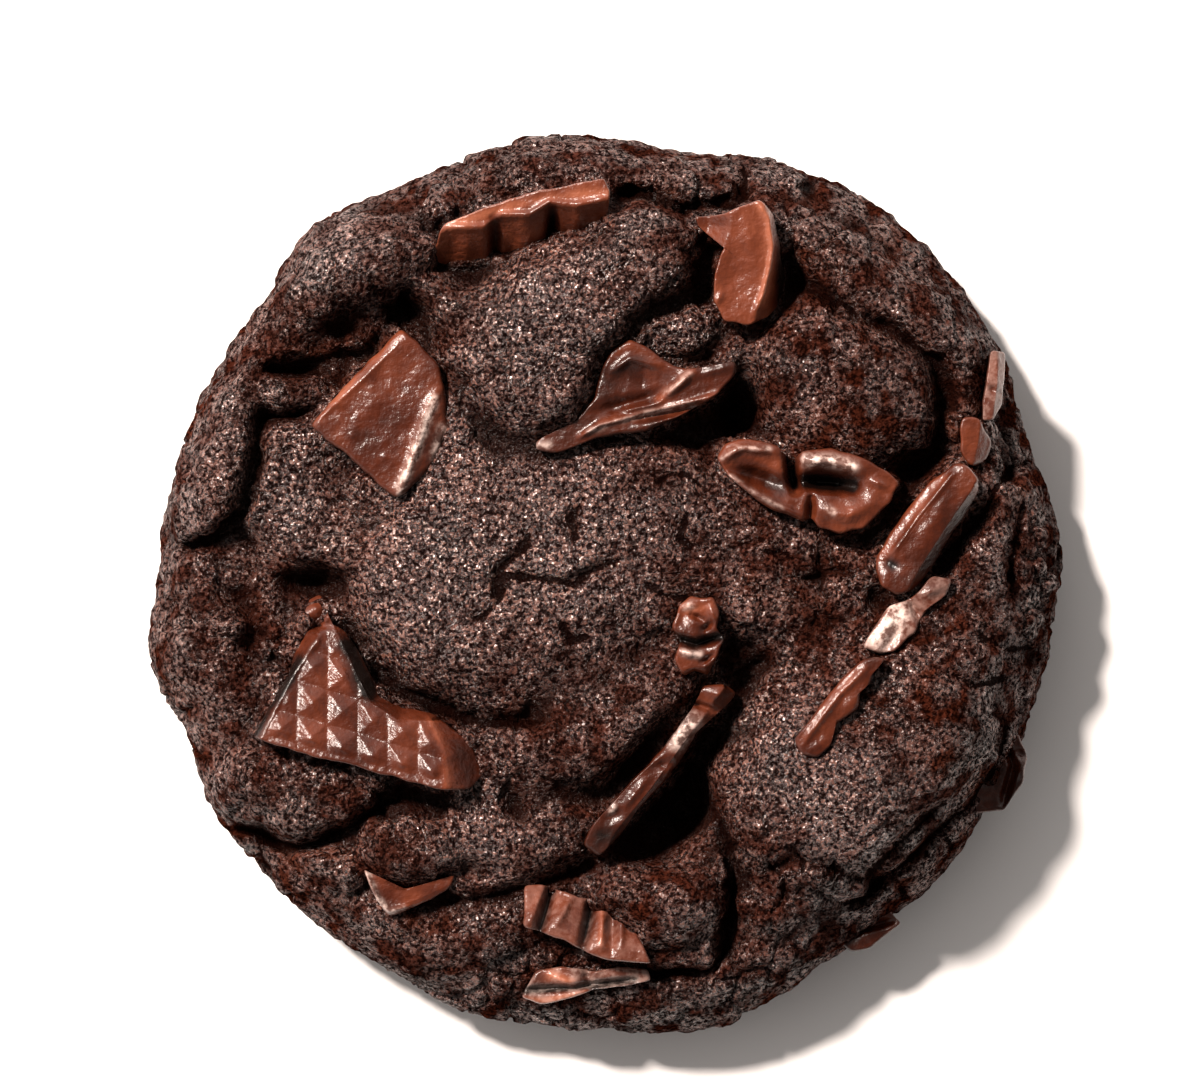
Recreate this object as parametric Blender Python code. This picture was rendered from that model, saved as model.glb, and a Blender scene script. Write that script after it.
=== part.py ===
"""A double chocolate chunk cookie: one baked dough body with chocolate chunks sunk into it.

Frame: metres, +Z up. The cookie lies flat on Z = 0 with its middle over the origin, and +Y is the
side away from someone who looks down on it. All the sizes below are in millimetres.
"""

import math

import bpy
import numpy as np

MM = 0.001

# Whole cookie
RIM_RADII = (
    45.9, 46.0, 44.9, 46.2, 46.8, 47.1, 46.8, 45.5, 44.3, 45.0, 45.5, 45.0,
    45.5, 46.4, 44.8, 44.7, 44.7, 45.0, 45.1, 46.6, 44.8, 45.7, 45.1, 44.7,
    44.6, 45.0, 44.8, 44.7, 46.0, 45.6, 44.2, 44.4, 45.0, 44.4, 44.9, 45.1,
)  # middle to edge, every 10 degrees anticlockwise from +X
RIM_HEIGHT = 4.6  # height of the widest line
SHOULDER = 8.0  # width of the band that rounds over to the rim
SETBACK = 2.0  # how far the flat underside lies inside the widest line
FLAT_SHARE = 0.68  # share of the way from the middle to the rim that is above the shoulder
ROUNDNESS = 0.9  # 1 is an elliptic shoulder, less is squarer
FLOOR_HEIGHT = 13.0  # dough between the folds, at the middle
FLOOR_FALL = 2.5  # how much lower it is at the rim

# Folds of dough, each a rounded roll along a spine of (x, y, half width, crown height)
FOLDS = {
    "north_roll": (
        (-30.5, 34.0, 3.2, 12.4), (-24.5, 37.6, 3.6, 14.2), (-16.5, 40.2, 3.8, 15.6),
        (-8.5, 41.8, 4.0, 16.4), (-0.5, 42.2, 4.4, 16.6), (7.0, 41.0, 4.0, 16.0),
    ),
    "north_end_roll": ((10.5, 41.0, 4.0, 15.2), (17.0, 40.5, 4.0, 14.8)),
    "north_west_roll": (
        (-36.0, 24.5, 4.2, 15.8), (-30.5, 29.6, 4.9, 18.2), (-25.5, 32.4, 5.0, 19.0), (-20.0, 33.6, 4.4, 18.2),
    ),
    "west_ridge": (
        (-36.2, 21.4, 3.4, 15.4), (-39.2, 15.5, 4.2, 17.4), (-40.2, 10.5, 4.4, 17.6), (-40.0, 8.0, 4.0, 16.8),
    ),
    "west_knob": ((-32.2, 19.0, 3.0, 15.4), (-29.6, 19.4, 2.6, 15.0)),
    "west_field": ((-31.5, 12.5, 5.4, 15.2), (-29.5, 6.5, 6.0, 15.8)),
    "west_flank": ((-22.0, 9.0, 6.0, 15.6), (-23.5, 4.0, 6.0, 16.6)),
    "west_bank": (
        (-41.0, 2.6, 3.6, 14.2), (-40.6, -3.0, 5.2, 14.6), (-40.2, -8.6, 5.6, 14.8), (-38.4, -14.0, 4.6, 14.4),
    ),
    "west_crumb": ((-39.6, -1.2, 2.6, 15.6), (-37.4, -3.6, 2.4, 15.4)),
    "middle_mound": ((-17.0, 0.5, 9.6, 18.4), (-12.5, -2.6, 11.4, 19.2), (-6.0, -1.8, 11.4, 18.8), (0.0, 2.0, 11.0, 18.0)),
    "middle_field": ((-11.0, 7.4, 9.6, 17.6), (-2.0, 7.6, 10.4, 17.8), (6.0, 4.6, 10.4, 17.8), (13.0, 4.0, 8.6, 17.4)),
    "right_field": ((13.0, 5.0, 7.6, 17.2), (18.5, 2.6, 6.8, 17.2), (23.0, 2.0, 4.8, 16.4)),
    "right_knob": ((14.6, -2.4, 4.2, 18.2), (18.4, -1.2, 4.0, 17.4)),
    "north_mound": ((-6.6, 23.6, 9.0, 21.2), (-2.0, 28.8, 8.4, 21.4), (4.4, 33.0, 6.2, 20.4)),
    "north_toe": ((-13.6, 22.0, 3.4, 17.4), (-14.0, 28.0, 3.2, 18.4)),
    "north_scrap": ((-17.4, 30.2, 1.9, 17.0), (-15.4, 30.0, 1.8, 16.6)),
    "notch_lump": ((4.8, 25.2, 3.3, 17.6), (8.8, 26.4, 3.6, 18.2)),
    "notch_knob": ((13.0, 23.6, 2.6, 17.0), (15.0, 24.2, 2.2, 16.6)),
    "east_mound": ((21.5, 21.0, 8.6, 19.6), (24.8, 18.4, 8.6, 19.4)),
    "east_toe": ((27.0, 12.6, 4.2, 16.2), (19.0, 13.6, 4.0, 17.0)),
    "north_east_layer": (
        (18.8, 35.0, 4.6, 16.6), (24.5, 31.2, 5.0, 17.2), (30.5, 26.4, 5.0, 17.0), (35.2, 20.8, 4.2, 16.4),
    ),
    "north_east_ledge": (
        (21.5, 38.6, 4.4, 12.8), (28.0, 34.8, 5.0, 12.6), (34.0, 29.6, 5.0, 12.2), (37.6, 24.4, 4.0, 11.6),
    ),
    "east_step": ((35.5, 16.5, 3.2, 15.2), (37.0, 12.5, 3.2, 14.8)),
    "east_inner_ridge": ((38.2, 8.6, 3.0, 16.2), (37.8, 3.0, 3.4, 16.6), (36.6, -2.0, 3.8, 16.8)),
    "east_outer_ridge": ((42.0, 9.4, 3.4, 14.0), (42.4, 3.0, 3.6, 14.4), (41.4, -3.4, 3.6, 14.8)),
    "south_east_mound": (
        (33.5, -6.0, 7.4, 18.4), (29.5, -12.5, 9.4, 20.2), (24.0, -18.5, 10.0, 20.6), (20.0, -22.5, 8.4, 19.4),
    ),
    "mound_flank": ((15.4, -13.8, 3.4, 16.6), (19.6, -9.4, 3.8, 16.8), (24.0, -6.4, 3.6, 16.4)),
    "mound_toe": ((13.6, -18.4, 3.6, 16.8), (15.0, -23.0, 4.0, 17.4)),
    "south_east_rim": (
        (39.0, -8.0, 4.4, 14.6), (37.0, -16.0, 5.0, 14.8), (31.5, -24.0, 5.0, 14.2), (25.0, -30.0, 5.0, 13.6),
    ),
    "south_east_foot": ((17.0, -31.0, 4.6, 15.2), (23.0, -29.4, 4.4, 14.8)),
    "south_east_corner": ((16.6, -36.6, 4.0, 13.0), (22.5, -34.6, 3.6, 12.0)),
    "south_lump": ((2.2, -31.0, 4.8, 17.0), (7.2, -31.4, 5.0, 17.2)),
    "south_toe": ((3.0, -36.0, 3.4, 13.6), (9.0, -36.2, 3.6, 14.0)),
    "south_rim": ((4.0, -41.6, 3.6, 11.4), (9.6, -41.6, 3.6, 11.6), (15.0, -39.8, 3.4, 11.6)),
    "south_west_rim": (
        (-31.0, -29.4, 4.0, 13.6), (-25.5, -33.0, 4.4, 13.8), (-18.5, -35.6, 4.6, 13.8), (-10.5, -35.2, 4.4, 13.8),
        (-6.0, -37.4, 3.6, 12.6),
    ),
    "south_west_lump": ((-36.6, -19.4, 4.6, 15.6), (-30.5, -20.8, 4.9, 16.8), (-24.0, -20.0, 4.0, 16.6)),
    "south_pillow": ((-20.8, -25.2, 4.2, 17.2), (-17.4, -26.0, 4.4, 17.2)),
    "south_bit": ((-28.4, -26.8, 2.8, 15.0), (-26.0, -27.6, 2.6, 14.8)),
    "south_ridge": ((-12.0, -23.2, 4.4, 16.8), (-6.5, -24.4, 4.5, 16.8), (-2.4, -24.0, 4.0, 16.2)),
    "slant_ridge": ((-9.0, -18.0, 4.2, 17.2), (-1.5, -15.6, 5.0, 18.2), (4.6, -11.2, 4.6, 18.0)),
}
FOLD_CROWN_DROP = 1.6  # how much a fold rounds down across its half width
FOLD_WALL_DROP = 3.4  # what its steep edge adds there, growing with the sixth power
FOLD_BLEND = 0.5  # how softly two folds meet

# Creases and pits between folds: (half width, depth, path of (x, y))
CREASES = {
    "north_west_pit": (1.9, 4.0, ((-29.8, 22.8), (-25.5, 26.0), (-20.5, 27.6), (-17.8, 29.0))),
    "west_slit": (0.9, 2.4, ((-33.6, 21.6), (-28.6, 21.4))),
    "chunk_slit": (0.9, 2.6, ((-34.6, 16.4), (-30.2, 16.7))),
    "west_crease": (1.1, 4.6, ((-34.9, 16.0), (-35.2, 11.5), (-36.2, 7.4), (-38.8, 5.0), (-42.0, 4.4))),
    "point_pit": (1.8, 6.0, ((-32.4, 1.0), (-29.5, 0.4), (-26.0, -0.8))),
    "west_valley": (1.5, 4.4, ((-31.4, -1.0), (-31.6, -5.5), (-34.0, -9.5), (-35.4, -14.0))),
    "mound_arc": (
        1.2, 3.4,
        ((-26.0, -3.5), (-24.4, -7.5), (-21.0, -11.2), (-16.5, -13.2), (-10.5, -14.3), (-5.5, -13.6), (-1.5, -10.6)),
    ),
    "pool_pit": (2.4, 7.0, ((13.4, 20.6), (13.2, 17.6), (11.2, 15.2))),
    "slab_pit": (1.7, 5.0, ((14.8, 25.6), (17.2, 28.4), (18.2, 31.6))),
    "north_crease": (1.1, 4.0, ((0.4, 39.0), (3.6, 38.8), (9.4, 37.6), (13.4, 38.2))),
    "notch_crease": (1.2, 3.0, ((8.4, 29.6), (4.4, 27.8), (1.6, 24.4), (-0.2, 19.0))),
    "streak_pit": (3.3, 9.0, ((3.0, -26.4), (7.4, -22.6), (9.8, -18.4), (11.4, -14.6))),
    "slant_valley": (1.9, 3.6, ((12.6, -11.6), (17.0, -7.6), (21.0, -4.8), (26.0, -2.0))),
    "slant_shade": (1.4, 2.6, ((-0.5, -20.4), (4.0, -16.6), (7.6, -11.4))),
    "south_crease": (1.1, 3.8, ((11.0, -22.8), (12.3, -27.5), (12.5, -31.5), (12.2, -36.5), (9.8, -38.6), (4.0, -39.0))),
    "twin_pit": (2.0, 6.0, ((24.4, 4.6), (28.2, 6.6), (31.2, 10.6), (32.6, 13.2))),
    "bar_pit": (1.6, 4.6, ((26.4, -0.6), (28.0, -2.2))),
    "bar_crease": (1.0, 3.6, ((32.8, 0.6), (35.6, 5.4), (38.0, 9.4), (40.0, 11.6))),
    "south_west_crease": (1.0, 3.8, ((-37.4, -24.0), (-34.0, -25.3), (-28.5, -24.7), (-24.0, -22.4), (-20.4, -21.2))),
    "south_middle_crease": (1.3, 3.8, ((-15.0, -31.0), (-10.5, -30.2), (-6.0, -29.2), (-2.0, -27.2))),
    "south_pinhole": (0.9, 3.6, ((-8.6, -21.4), (-7.8, -22.4))),
    "south_west_notch": (0.9, 3.0, ((-35.4, -25.6), (-34.6, -27.6), (-36.0, -30.0))),
    "east_arc": (0.8, 1.8, ((19.5, 29.0), (24.5, 28.4), (29.4, 25.8), (32.2, 22.0), (32.9, 17.5), (32.4, 13.6))),
    "foot_crack": (0.9, 2.6, ((16.0, -28.4), (22.0, -27.6), (27.0, -28.2), (29.4, -25.6), (33.0, -22.6))),
    "corner_crack": (0.8, 2.4, ((24.4, -32.0), (27.0, -30.8), (28.6, -28.0))),
    "east_crack": (0.6, 1.4, ((41.2, 8.4), (41.0, 4.0), (41.4, 0.4))),
    "rim_notch": (1.2, 3.0, ((42.2, -4.4), (43.2, -6.4))),
    "roll_split": (0.8, 2.4, ((13.2, 42.6), (13.8, 40.6), (13.6, 38.6))),
    "north_notch": (1.0, 3.0, ((20.6, 42.0), (20.4, 39.0))),
}

# Wobble that keeps the folds from looking drawn: (cell size, reach)
WOBBLE_BROAD = (9.0, 1.1)
WOBBLE_FINE = (3.2, 0.45)
LUMPINESS = (4.2, 0.35)  # swelling of the surface itself: (cell size, height)

# Chunks
SEAT_SHARE = 0.55  # a chunk stands out of the dough by at most this share of its thickness
BED_SHARE = 0.22  # and by at least this share
SEAT_SLOPE = 3.0  # how steeply the seat under a chunk falls away outside it
BED_SLOPE = 1.8  # how steeply the dough beside a chunk may rise above its bed
POCKET_GAP = 0.35  # room between a chunk and the dough round it

# Broken pieces: corners (x, y), face height at the middle and its slopes, thickness, edge rounding,
# and dents in the face as (x, y, radius, depth). The ones on the side stick out under the shoulder.
SLABS = {
    "waffle_chunk": dict(
        corners=(
            (-27.6, -4.4), (-30.4, -8.4), (-34.8, -14.9), (-30.5, -16.3), (-25.0, -17.6), (-16.0, -20.0),
            (-13.4, -20.2), (-11.9, -18.4), (-13.6, -15.4), (-17.1, -12.9), (-21.0, -12.4), (-24.0, -9.8),
        ),
        face=(17.2, 0.03, -0.14), thick=5.0, edge=0.5,
    ),
    "square_chunk": dict(
        corners=(
            (-20.2, 25.5), (-25.2, 20.3), (-29.3, 15.8), (-25.0, 12.6), (-20.7, 8.7), (-19.6, 10.6),
            (-17.9, 16.2), (-16.4, 19.6), (-16.5, 21.5), (-18.8, 24.4),
        ),
        face=(17.8, -0.05, -0.10), thick=5.0, edge=0.8,
    ),
    "curved_slab": dict(
        corners=(
            (9.2, 36.6), (12.6, 36.2), (14.6, 37.9), (16.2, 37.6), (17.4, 34.0), (17.3, 30.2), (16.0, 27.0),
            (13.0, 25.9), (11.2, 27.4), (10.4, 30.0), (11.2, 33.4), (10.4, 34.8),
        ),
        face=(19.6, 0.08, 0.05), thick=5.2, edge=0.7, dents=((12.4, 31.0, 2.2, 0.6),),
    ),
    "pool_chunk": dict(
        corners=(
            (-6.2, 14.6), (-3.0, 16.6), (-0.4, 18.8), (0.2, 21.2), (1.2, 23.2), (2.8, 24.3), (5.0, 22.8), (7.4, 21.7),
            (12.7, 22.0), (12.9, 21.0), (11.0, 19.4), (7.6, 17.8), (3.6, 16.6), (-1.0, 15.3),
        ),
        face=(19.0, 0.06, 0.02), thick=4.4, edge=0.7, dents=((3.6, 20.0, 2.6, 1.4),),
    ),
    "twin_chunk": dict(
        corners=(
            (10.7, 12.9), (11.6, 14.0), (14.0, 14.7), (18.5, 14.0), (22.5, 13.4), (26.0, 12.5), (28.8, 10.8),
            (28.0, 8.5), (26.2, 6.5), (23.0, 5.7), (19.8, 6.2), (16.0, 8.5), (12.6, 10.8),
        ),
        face=(18.8, -0.03, 0.06), thick=4.6, edge=0.7,
        dents=((18.6, 11.6, 1.5, 2.4), (22.6, 9.4, 2.1, 1.6)),
    ),
    "ribbed_slab": dict(
        corners=(
            (-7.6, -30.2), (-5.0, -29.9), (-1.4, -31.2), (1.8, -32.8), (3.4, -35.4), (4.2, -37.2), (0.0, -36.8),
            (-4.2, -35.4), (-7.8, -33.6),
        ),
        face=(15.8, -0.02, -0.02), thick=4.4, edge=0.5, ribs=3,
    ),
    "rim_wedge": dict(
        corners=((35.6, 16.8), (37.2, 16.5), (38.3, 14.2), (37.9, 12.7), (36.4, 12.1), (35.4, 13.6)),
        face=(15.6, -0.1, 0.0), thick=4.0, edge=0.4,
    ),
    "crag_chunk": dict(
        corners=(
            (7.4, -1.4), (9.6, -1.0), (11.2, -2.2), (11.3, -5.4), (10.4, -7.6), (8.2, -8.2), (7.0, -6.6), (7.2, -4.0),
        ),
        face=(18.9, 0.02, 0.06), thick=4.4, edge=0.9, dents=((9.2, -3.2, 1.2, 0.9),),
    ),
    "side_chunk": dict(
        corners=(
            (39.4, -14.2), (41.6, -15.0), (42.4, -17.4), (41.8, -20.0), (40.0, -22.6), (37.2, -23.0), (36.4, -18.4),
        ),
        face=(9.0, 0.0, 0.0), thick=5.0, edge=0.6, on_side=True,
    ),
    "foot_chunk": dict(
        corners=((22.2, -35.0), (24.8, -36.8), (26.8, -36.4), (29.8, -34.0), (27.0, -31.0)),
        face=(8.0, 0.0, 0.0), thick=4.6, edge=0.5, on_side=True,
    ),
}
# Bars and melted streaks: stations of (x, y, crown height, half width), depth, lean sideways in degrees
BARS = {
    "scalloped_bar": dict(
        stations=(
            (-16.4, 34.9, 17.2, 1.7), (-13.0, 35.6, 17.8, 1.8), (-7.5, 37.2, 18.6, 1.7), (-2.6, 38.7, 19.0, 1.7),
            (0.2, 39.3, 18.8, 1.3),
        ),
        deep=5.4, lean=26, ribs=3,
    ),
    "smooth_bar": dict(
        stations=((35.8, 10.9, 18.6, 2.1), (33.2, 7.0, 18.8, 2.5), (30.4, 3.2, 18.6, 2.4), (28.4, 1.0, 18.0, 2.0)),
        deep=5.0, lean=6,
    ),
    "edge_plate": dict(
        stations=((39.3, 23.0, 13.8, 1.1), (38.8, 19.6, 15.0, 1.4), (37.9, 17.4, 15.6, 0.8)),
        deep=5.4, lean=10,
    ),
    "upper_drip": dict(
        stations=((34.0, 0.9, 17.6, 0.7), (31.8, -1.0, 18.2, 1.0), (29.6, -2.8, 18.8, 1.6), (27.2, -5.4, 19.2, 1.7)),
        deep=4.4, lean=0,
    ),
    "lower_drip": dict(
        stations=(
            (27.0, -8.0, 20.6, 1.0), (24.6, -10.2, 21.0, 1.5), (21.8, -13.4, 21.0, 1.7), (19.8, -16.6, 20.2, 1.5),
        ),
        deep=4.6, lean=0,
    ),
    "long_streak": dict(
        stations=(
            (12.2, -10.2, 17.8, 0.9), (9.6, -11.8, 18.4, 1.2), (7.4, -15.0, 18.2, 1.5), (4.0, -19.6, 17.6, 1.7),
            (1.6, -23.2, 16.8, 1.9), (-0.4, -25.8, 16.0, 1.5),
        ),
        deep=6.5, lean=10,
    ),
    "crescent_chunk": dict(
        stations=(
            (-23.7, -27.6, 14.6, 0.6), (-22.3, -30.0, 14.8, 1.2), (-20.4, -31.1, 14.8, 1.3), (-18.0, -30.6, 14.6, 1.0),
            (-15.2, -29.3, 14.6, 0.6),
        ),
        deep=4.4, lean=0,
    ),
    "rim_streak": dict(
        stations=((-7.6, -40.6, 12.0, 1.1), (-3.6, -39.9, 12.8, 1.4), (0.6, -39.3, 13.2, 1.2), (3.6, -39.2, 13.0, 0.7)),
        deep=4.0, lean=0,
    ),
}
BAR_SQUARENESS = 0.6  # 1 is an oval section, less is squarer
BAR_END = 1.4  # length over which a bar's end rounds off

# Mesh fineness of the solids
DOUGH_CELLS = 50  # cells along a side of the grid that is folded onto the disc
UNDERCUT_ROWS = 3
SLAB_STEP = 2.8  # longest piece of a slab's outline
FACE_RINGS = (0.75, 0.4)  # how far in the rings of a slab's face lie, as shares of its reach
BAR_SIDES = 10
BAR_STEP = 2.2  # longest stretch along a bar

DOUGH_COLOUR = (0.040, 0.020, 0.014)
CHOCOLATE_COLOUR = (0.200, 0.060, 0.030)


def smooth_noise(x, y, cell, seed):
    """Random heights from -1 to 1 on a square lattice, joined by smooth steps."""

    def corner(column, row):
        mixed = (column * 73856093) ^ (row * 19349663) ^ (seed * 83492791)
        mixed = ((mixed ^ (mixed >> 13)) * 1274126177) & 0xFFFFFFFF
        return ((mixed ^ (mixed >> 16)) & 0xFFFF) / 32767.5 - 1.0

    column = np.floor(x / cell).astype(np.int64)
    row = np.floor(y / cell).astype(np.int64)
    u = x / cell - column
    v = y / cell - row
    u = u * u * (3 - 2 * u)
    v = v * v * (3 - 2 * v)
    near = corner(column, row) * (1 - u) + corner(column + 1, row) * u
    far = corner(column, row + 1) * (1 - u) + corner(column + 1, row + 1) * u
    return near * (1 - v) + far * v


def rim_radius(angle):
    """Distance to the edge at an angle: a smooth closed curve through RIM_RADII."""
    count = len(RIM_RADII)
    place = np.mod(angle / (2 * np.pi) * count, count)
    first = np.floor(place).astype(int)
    t = place - first
    before, start, end, after = (np.take(RIM_RADII, (first + k) % count) for k in (-1, 0, 1, 2))
    bend = 2 * before - 5 * start + 4 * end - after
    twist = 3 * (start - end) + after - before
    return start + 0.5 * t * (end - before + t * (bend + t * twist))


def nearest_on_path(x, y, path):
    """Distance to a path of points, and the values that its points carry, blended along it."""
    path = np.asarray(path, float)
    distance = np.full(x.shape, np.inf)
    carried = np.zeros(x.shape + (path.shape[1],))
    for start, end in zip(path, path[1:]):
        step = end - start
        along = ((x - start[0]) * step[0] + (y - start[1]) * step[1]) / (step[0] ** 2 + step[1] ** 2)
        along = np.clip(along, 0, 1)
        point = start + along[..., None] * step
        here = np.hypot(x - point[..., 0], y - point[..., 1])
        closer = here < distance
        distance = np.where(closer, here, distance)
        carried = np.where(closer[..., None], point, carried)
    return distance, carried


def fold_height(x, y, spine):
    """A roll of dough: its crown, less a gentle round and a steep wall across its half width."""
    height = np.full(x.shape, -99.0)
    for start, end in zip(spine, spine[1:]):
        distance, carried = nearest_on_path(x, y, (start, end))
        across = np.minimum(distance / carried[..., 2], 2.0)
        drop = FOLD_CROWN_DROP * across**2 + FOLD_WALL_DROP * across**6
        height = np.maximum(height, carried[..., 3] - drop)
    return height


def crease_depth(x, y, half_width, depth, path):
    """A groove with soft sides, shallower towards the ends of its path."""
    distance, carried = nearest_on_path(x, y, path)
    ends = np.minimum(
        np.hypot(carried[..., 0] - path[0][0], carried[..., 1] - path[0][1]),
        np.hypot(carried[..., 0] - path[-1][0], carried[..., 1] - path[-1][1]),
    )
    fade = 0.45 + 0.55 * np.clip(ends / (2 * half_width), 0, 1)
    return depth * fade * np.exp(-((distance / half_width) ** 2))


def outside_of(x, y, corners):
    """Signed distance to a closed outline, positive outside it."""
    distance, _ = nearest_on_path(x, y, tuple(corners) + (corners[0],))
    inside = np.zeros(x.shape, bool)
    for (x0, y0), (x1, y1) in zip(corners, tuple(corners[1:]) + (corners[0],)):
        if y0 == y1:
            continue
        crosses = (y0 > y) != (y1 > y)
        inside ^= crosses & (x < (x1 - x0) * (y - y0) / (y1 - y0) + x0)
    return np.where(inside, -distance, distance)


def slab_face(slab, x, y):
    """Height of a slab's face over a point: a tilted plane through its middle."""
    middle = np.mean(slab["corners"], axis=0)
    height, slope_x, slope_y = slab["face"]
    return height + slope_x * (x - middle[0]) + slope_y * (y - middle[1])


def seat_chunks(x, y, height):
    """The dough's height with a seat raised under each chunk, and lowered where it would cover one."""
    for slab in SLABS.values():
        if slab.get("on_side"):
            continue
        beside = np.maximum(outside_of(x, y, slab["corners"]), 0)
        face = slab_face(slab, x, y)
        seat = face - SEAT_SHARE * slab["thick"] - SEAT_SLOPE * beside
        height = np.clip(height, seat, face - BED_SHARE * slab["thick"] + BED_SLOPE * beside)
    for bar in BARS.values():
        distance, carried = nearest_on_path(x, y, bar["stations"])
        beside = np.maximum(distance - carried[..., 3], 0)
        seat = carried[..., 2] - SEAT_SHARE * bar["deep"] - SEAT_SLOPE * beside
        height = np.clip(height, seat, carried[..., 2] - BED_SHARE * bar["deep"] + BED_SLOPE * beside)
    return height


def top_height(x, y):
    """Height of the dough over a point of the plan: folds that meet, less the creases and beds."""
    for cell, reach in (WOBBLE_BROAD, WOBBLE_FINE):
        x, y = x + reach * smooth_noise(x, y, cell, 1), y + reach * smooth_noise(x, y, cell, 2)
    floor = FLOOR_HEIGHT - FLOOR_FALL * (x**2 + y**2) / min(RIM_RADII) ** 2
    total = np.exp(floor / FOLD_BLEND - 50)
    for spine in FOLDS.values():
        total = total + np.exp(fold_height(x, y, spine) / FOLD_BLEND - 50)
    height = FOLD_BLEND * (np.log(total) + 50)
    for half_width, depth, path in CREASES.values():
        height = height - crease_depth(x, y, half_width, depth, path)
    return height + LUMPINESS[1] * smooth_noise(x, y, LUMPINESS[0], 3)


def disc_grid(cells):
    """A square grid folded onto a disc: each point's share of the radius, and its angle."""
    steps = np.linspace(-1, 1, cells + 1)
    u, v = np.meshgrid(steps, steps, indexing="ij")
    share = np.maximum(abs(u), abs(v))
    whole = np.where(share == 0, 1, share)
    sideways = abs(u) >= abs(v)
    angle = np.where(
        sideways,
        np.pi / 4 * v / np.where(sideways, np.where(u == 0, whole, u), 1),
        np.pi / 2 - np.pi / 4 * u / np.where(sideways, 1, v),
    )
    return share, angle + np.where(np.where(sideways, u, v) < 0, np.pi, 0)


def dough_top(share, angle):
    """Points of the top: flat-going to the shoulder, then rounding over to the widest line."""
    radius = rim_radius(angle)
    turn = np.clip((share - FLAT_SHARE) / (1 - FLAT_SHARE), 0, 1) * np.pi / 2
    inner = np.minimum(share / FLAT_SHARE, 1) * (radius - SHOULDER)
    plan = inner + SHOULDER * np.sin(turn) ** ROUNDNESS
    x, y = plan * np.cos(angle), plan * np.sin(angle)
    rise = seat_chunks(x, y, top_height(x, y)) - RIM_HEIGHT
    return np.stack([x, y, RIM_HEIGHT + rise * np.abs(np.cos(turn)) ** ROUNDNESS], axis=-1)


def undercut_row(angle, share):
    """Points below the widest line, drawing in to the flat underside as share goes from 0 to 1."""
    turn = share * np.pi / 2
    plan = rim_radius(angle) - SETBACK * (1 - np.cos(turn))
    height = RIM_HEIGHT * (1 - np.sin(turn))
    return np.stack([plan * np.cos(angle), plan * np.sin(angle), np.full(angle.shape, height)], axis=-1)


def add_object(name, points, faces, colour, roughness):
    """A mesh object from points in millimetres."""
    mesh = bpy.data.meshes.new(name)
    mesh.from_pydata((np.asarray(points, float) * MM).tolist(), [], faces)
    mesh.update()
    material = bpy.data.materials.get(colour[0]) or bpy.data.materials.new(colour[0])
    material.use_nodes = True
    shader = material.node_tree.nodes["Principled BSDF"]
    shader.inputs["Base Color"].default_value = (*colour[1], 1)
    shader.inputs["Roughness"].default_value = roughness
    mesh.materials.append(material)
    made = bpy.data.objects.new(name, mesh)
    bpy.context.scene.collection.objects.link(made)
    return made


def grid_faces(rows, columns, first=0, closed=True):
    """Quads between rows of points, each row a ring if closed."""
    faces = []
    for row in range(rows - 1):
        for column in range(columns if closed else columns - 1):
            here = first + row * columns + column
            beside = first + row * columns + (column + 1) % columns
            faces.append((here, beside, beside + columns, here + columns))
    return faces


def split_quads(points, quads):
    """Triangles from quads, each cut along its shorter diagonal."""
    quads = np.asarray(quads)
    corner = points[quads]
    first = np.linalg.norm(corner[:, 0] - corner[:, 2], axis=1) <= np.linalg.norm(corner[:, 1] - corner[:, 3], axis=1)
    turned = np.where(first[:, None], quads, np.roll(quads, -1, axis=1))
    return np.concatenate([turned[:, [0, 1, 2]], turned[:, [0, 2, 3]]]).tolist()


def make_dough():
    """The dough body: top grid, undercut rows and one flat face underneath."""
    cells = DOUGH_CELLS
    share, angle = disc_grid(cells)
    top = dough_top(share, angle).reshape(-1, 3)
    side = cells + 1
    index = np.arange(side * side).reshape(side, side)
    quads = [np.stack([index[:-1, :-1], index[1:, :-1], index[1:, 1:], index[:-1, 1:]], axis=-1).reshape(-1, 4)]
    edge = np.concatenate([index[:-1, 0], index[-1, :-1], index[:0:-1, -1], index[0, :0:-1]])
    edge_angle = angle.reshape(-1)[edge]
    rows = [undercut_row(edge_angle, (k + 1) / UNDERCUT_ROWS) for k in range(UNDERCUT_ROWS)]
    points = np.concatenate([top, *rows])
    above = edge
    for k in range(UNDERCUT_ROWS):
        below = side * side + k * len(edge) + np.arange(len(edge))
        quads.append(np.stack([above, below, np.roll(below, -1), np.roll(above, -1)], axis=-1))
        above = below
    faces = split_quads(points, np.concatenate(quads))
    faces.append(above[::-1].tolist())
    return add_object("dough", points, faces, ("baked cocoa dough", DOUGH_COLOUR), 0.6)


def slab_outline(corners):
    """A slab's corners with each edge cut into pieces no longer than SLAB_STEP."""
    points = []
    for start, end in zip(corners, tuple(corners[1:]) + (corners[0],)):
        pieces = math.ceil(math.dist(start, end) / SLAB_STEP)
        points += [np.add(start, np.subtract(end, start) * k / pieces) for k in range(pieces)]
    return np.array(points)


def face_relief(slab, x, y):
    """What a slab's face adds to its plane: rounded ribs along its length, less its dents."""
    relief = np.zeros(x.shape)
    if "ribs" in slab:
        corners = np.array(slab["corners"])
        start, end = corners[0], corners[len(corners) // 2]
        run = end - start
        along = ((x - start[0]) * run[0] + (y - start[1]) * run[1]) / (run**2).sum()
        relief += 0.9 * np.abs(np.sin(np.pi * slab["ribs"] * along)) - 0.45
    for dent_x, dent_y, radius, depth in slab.get("dents", ()):
        relief -= depth * np.exp(-((x - dent_x) ** 2 + (y - dent_y) ** 2) / (0.6 * radius**2))
    return relief


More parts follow.
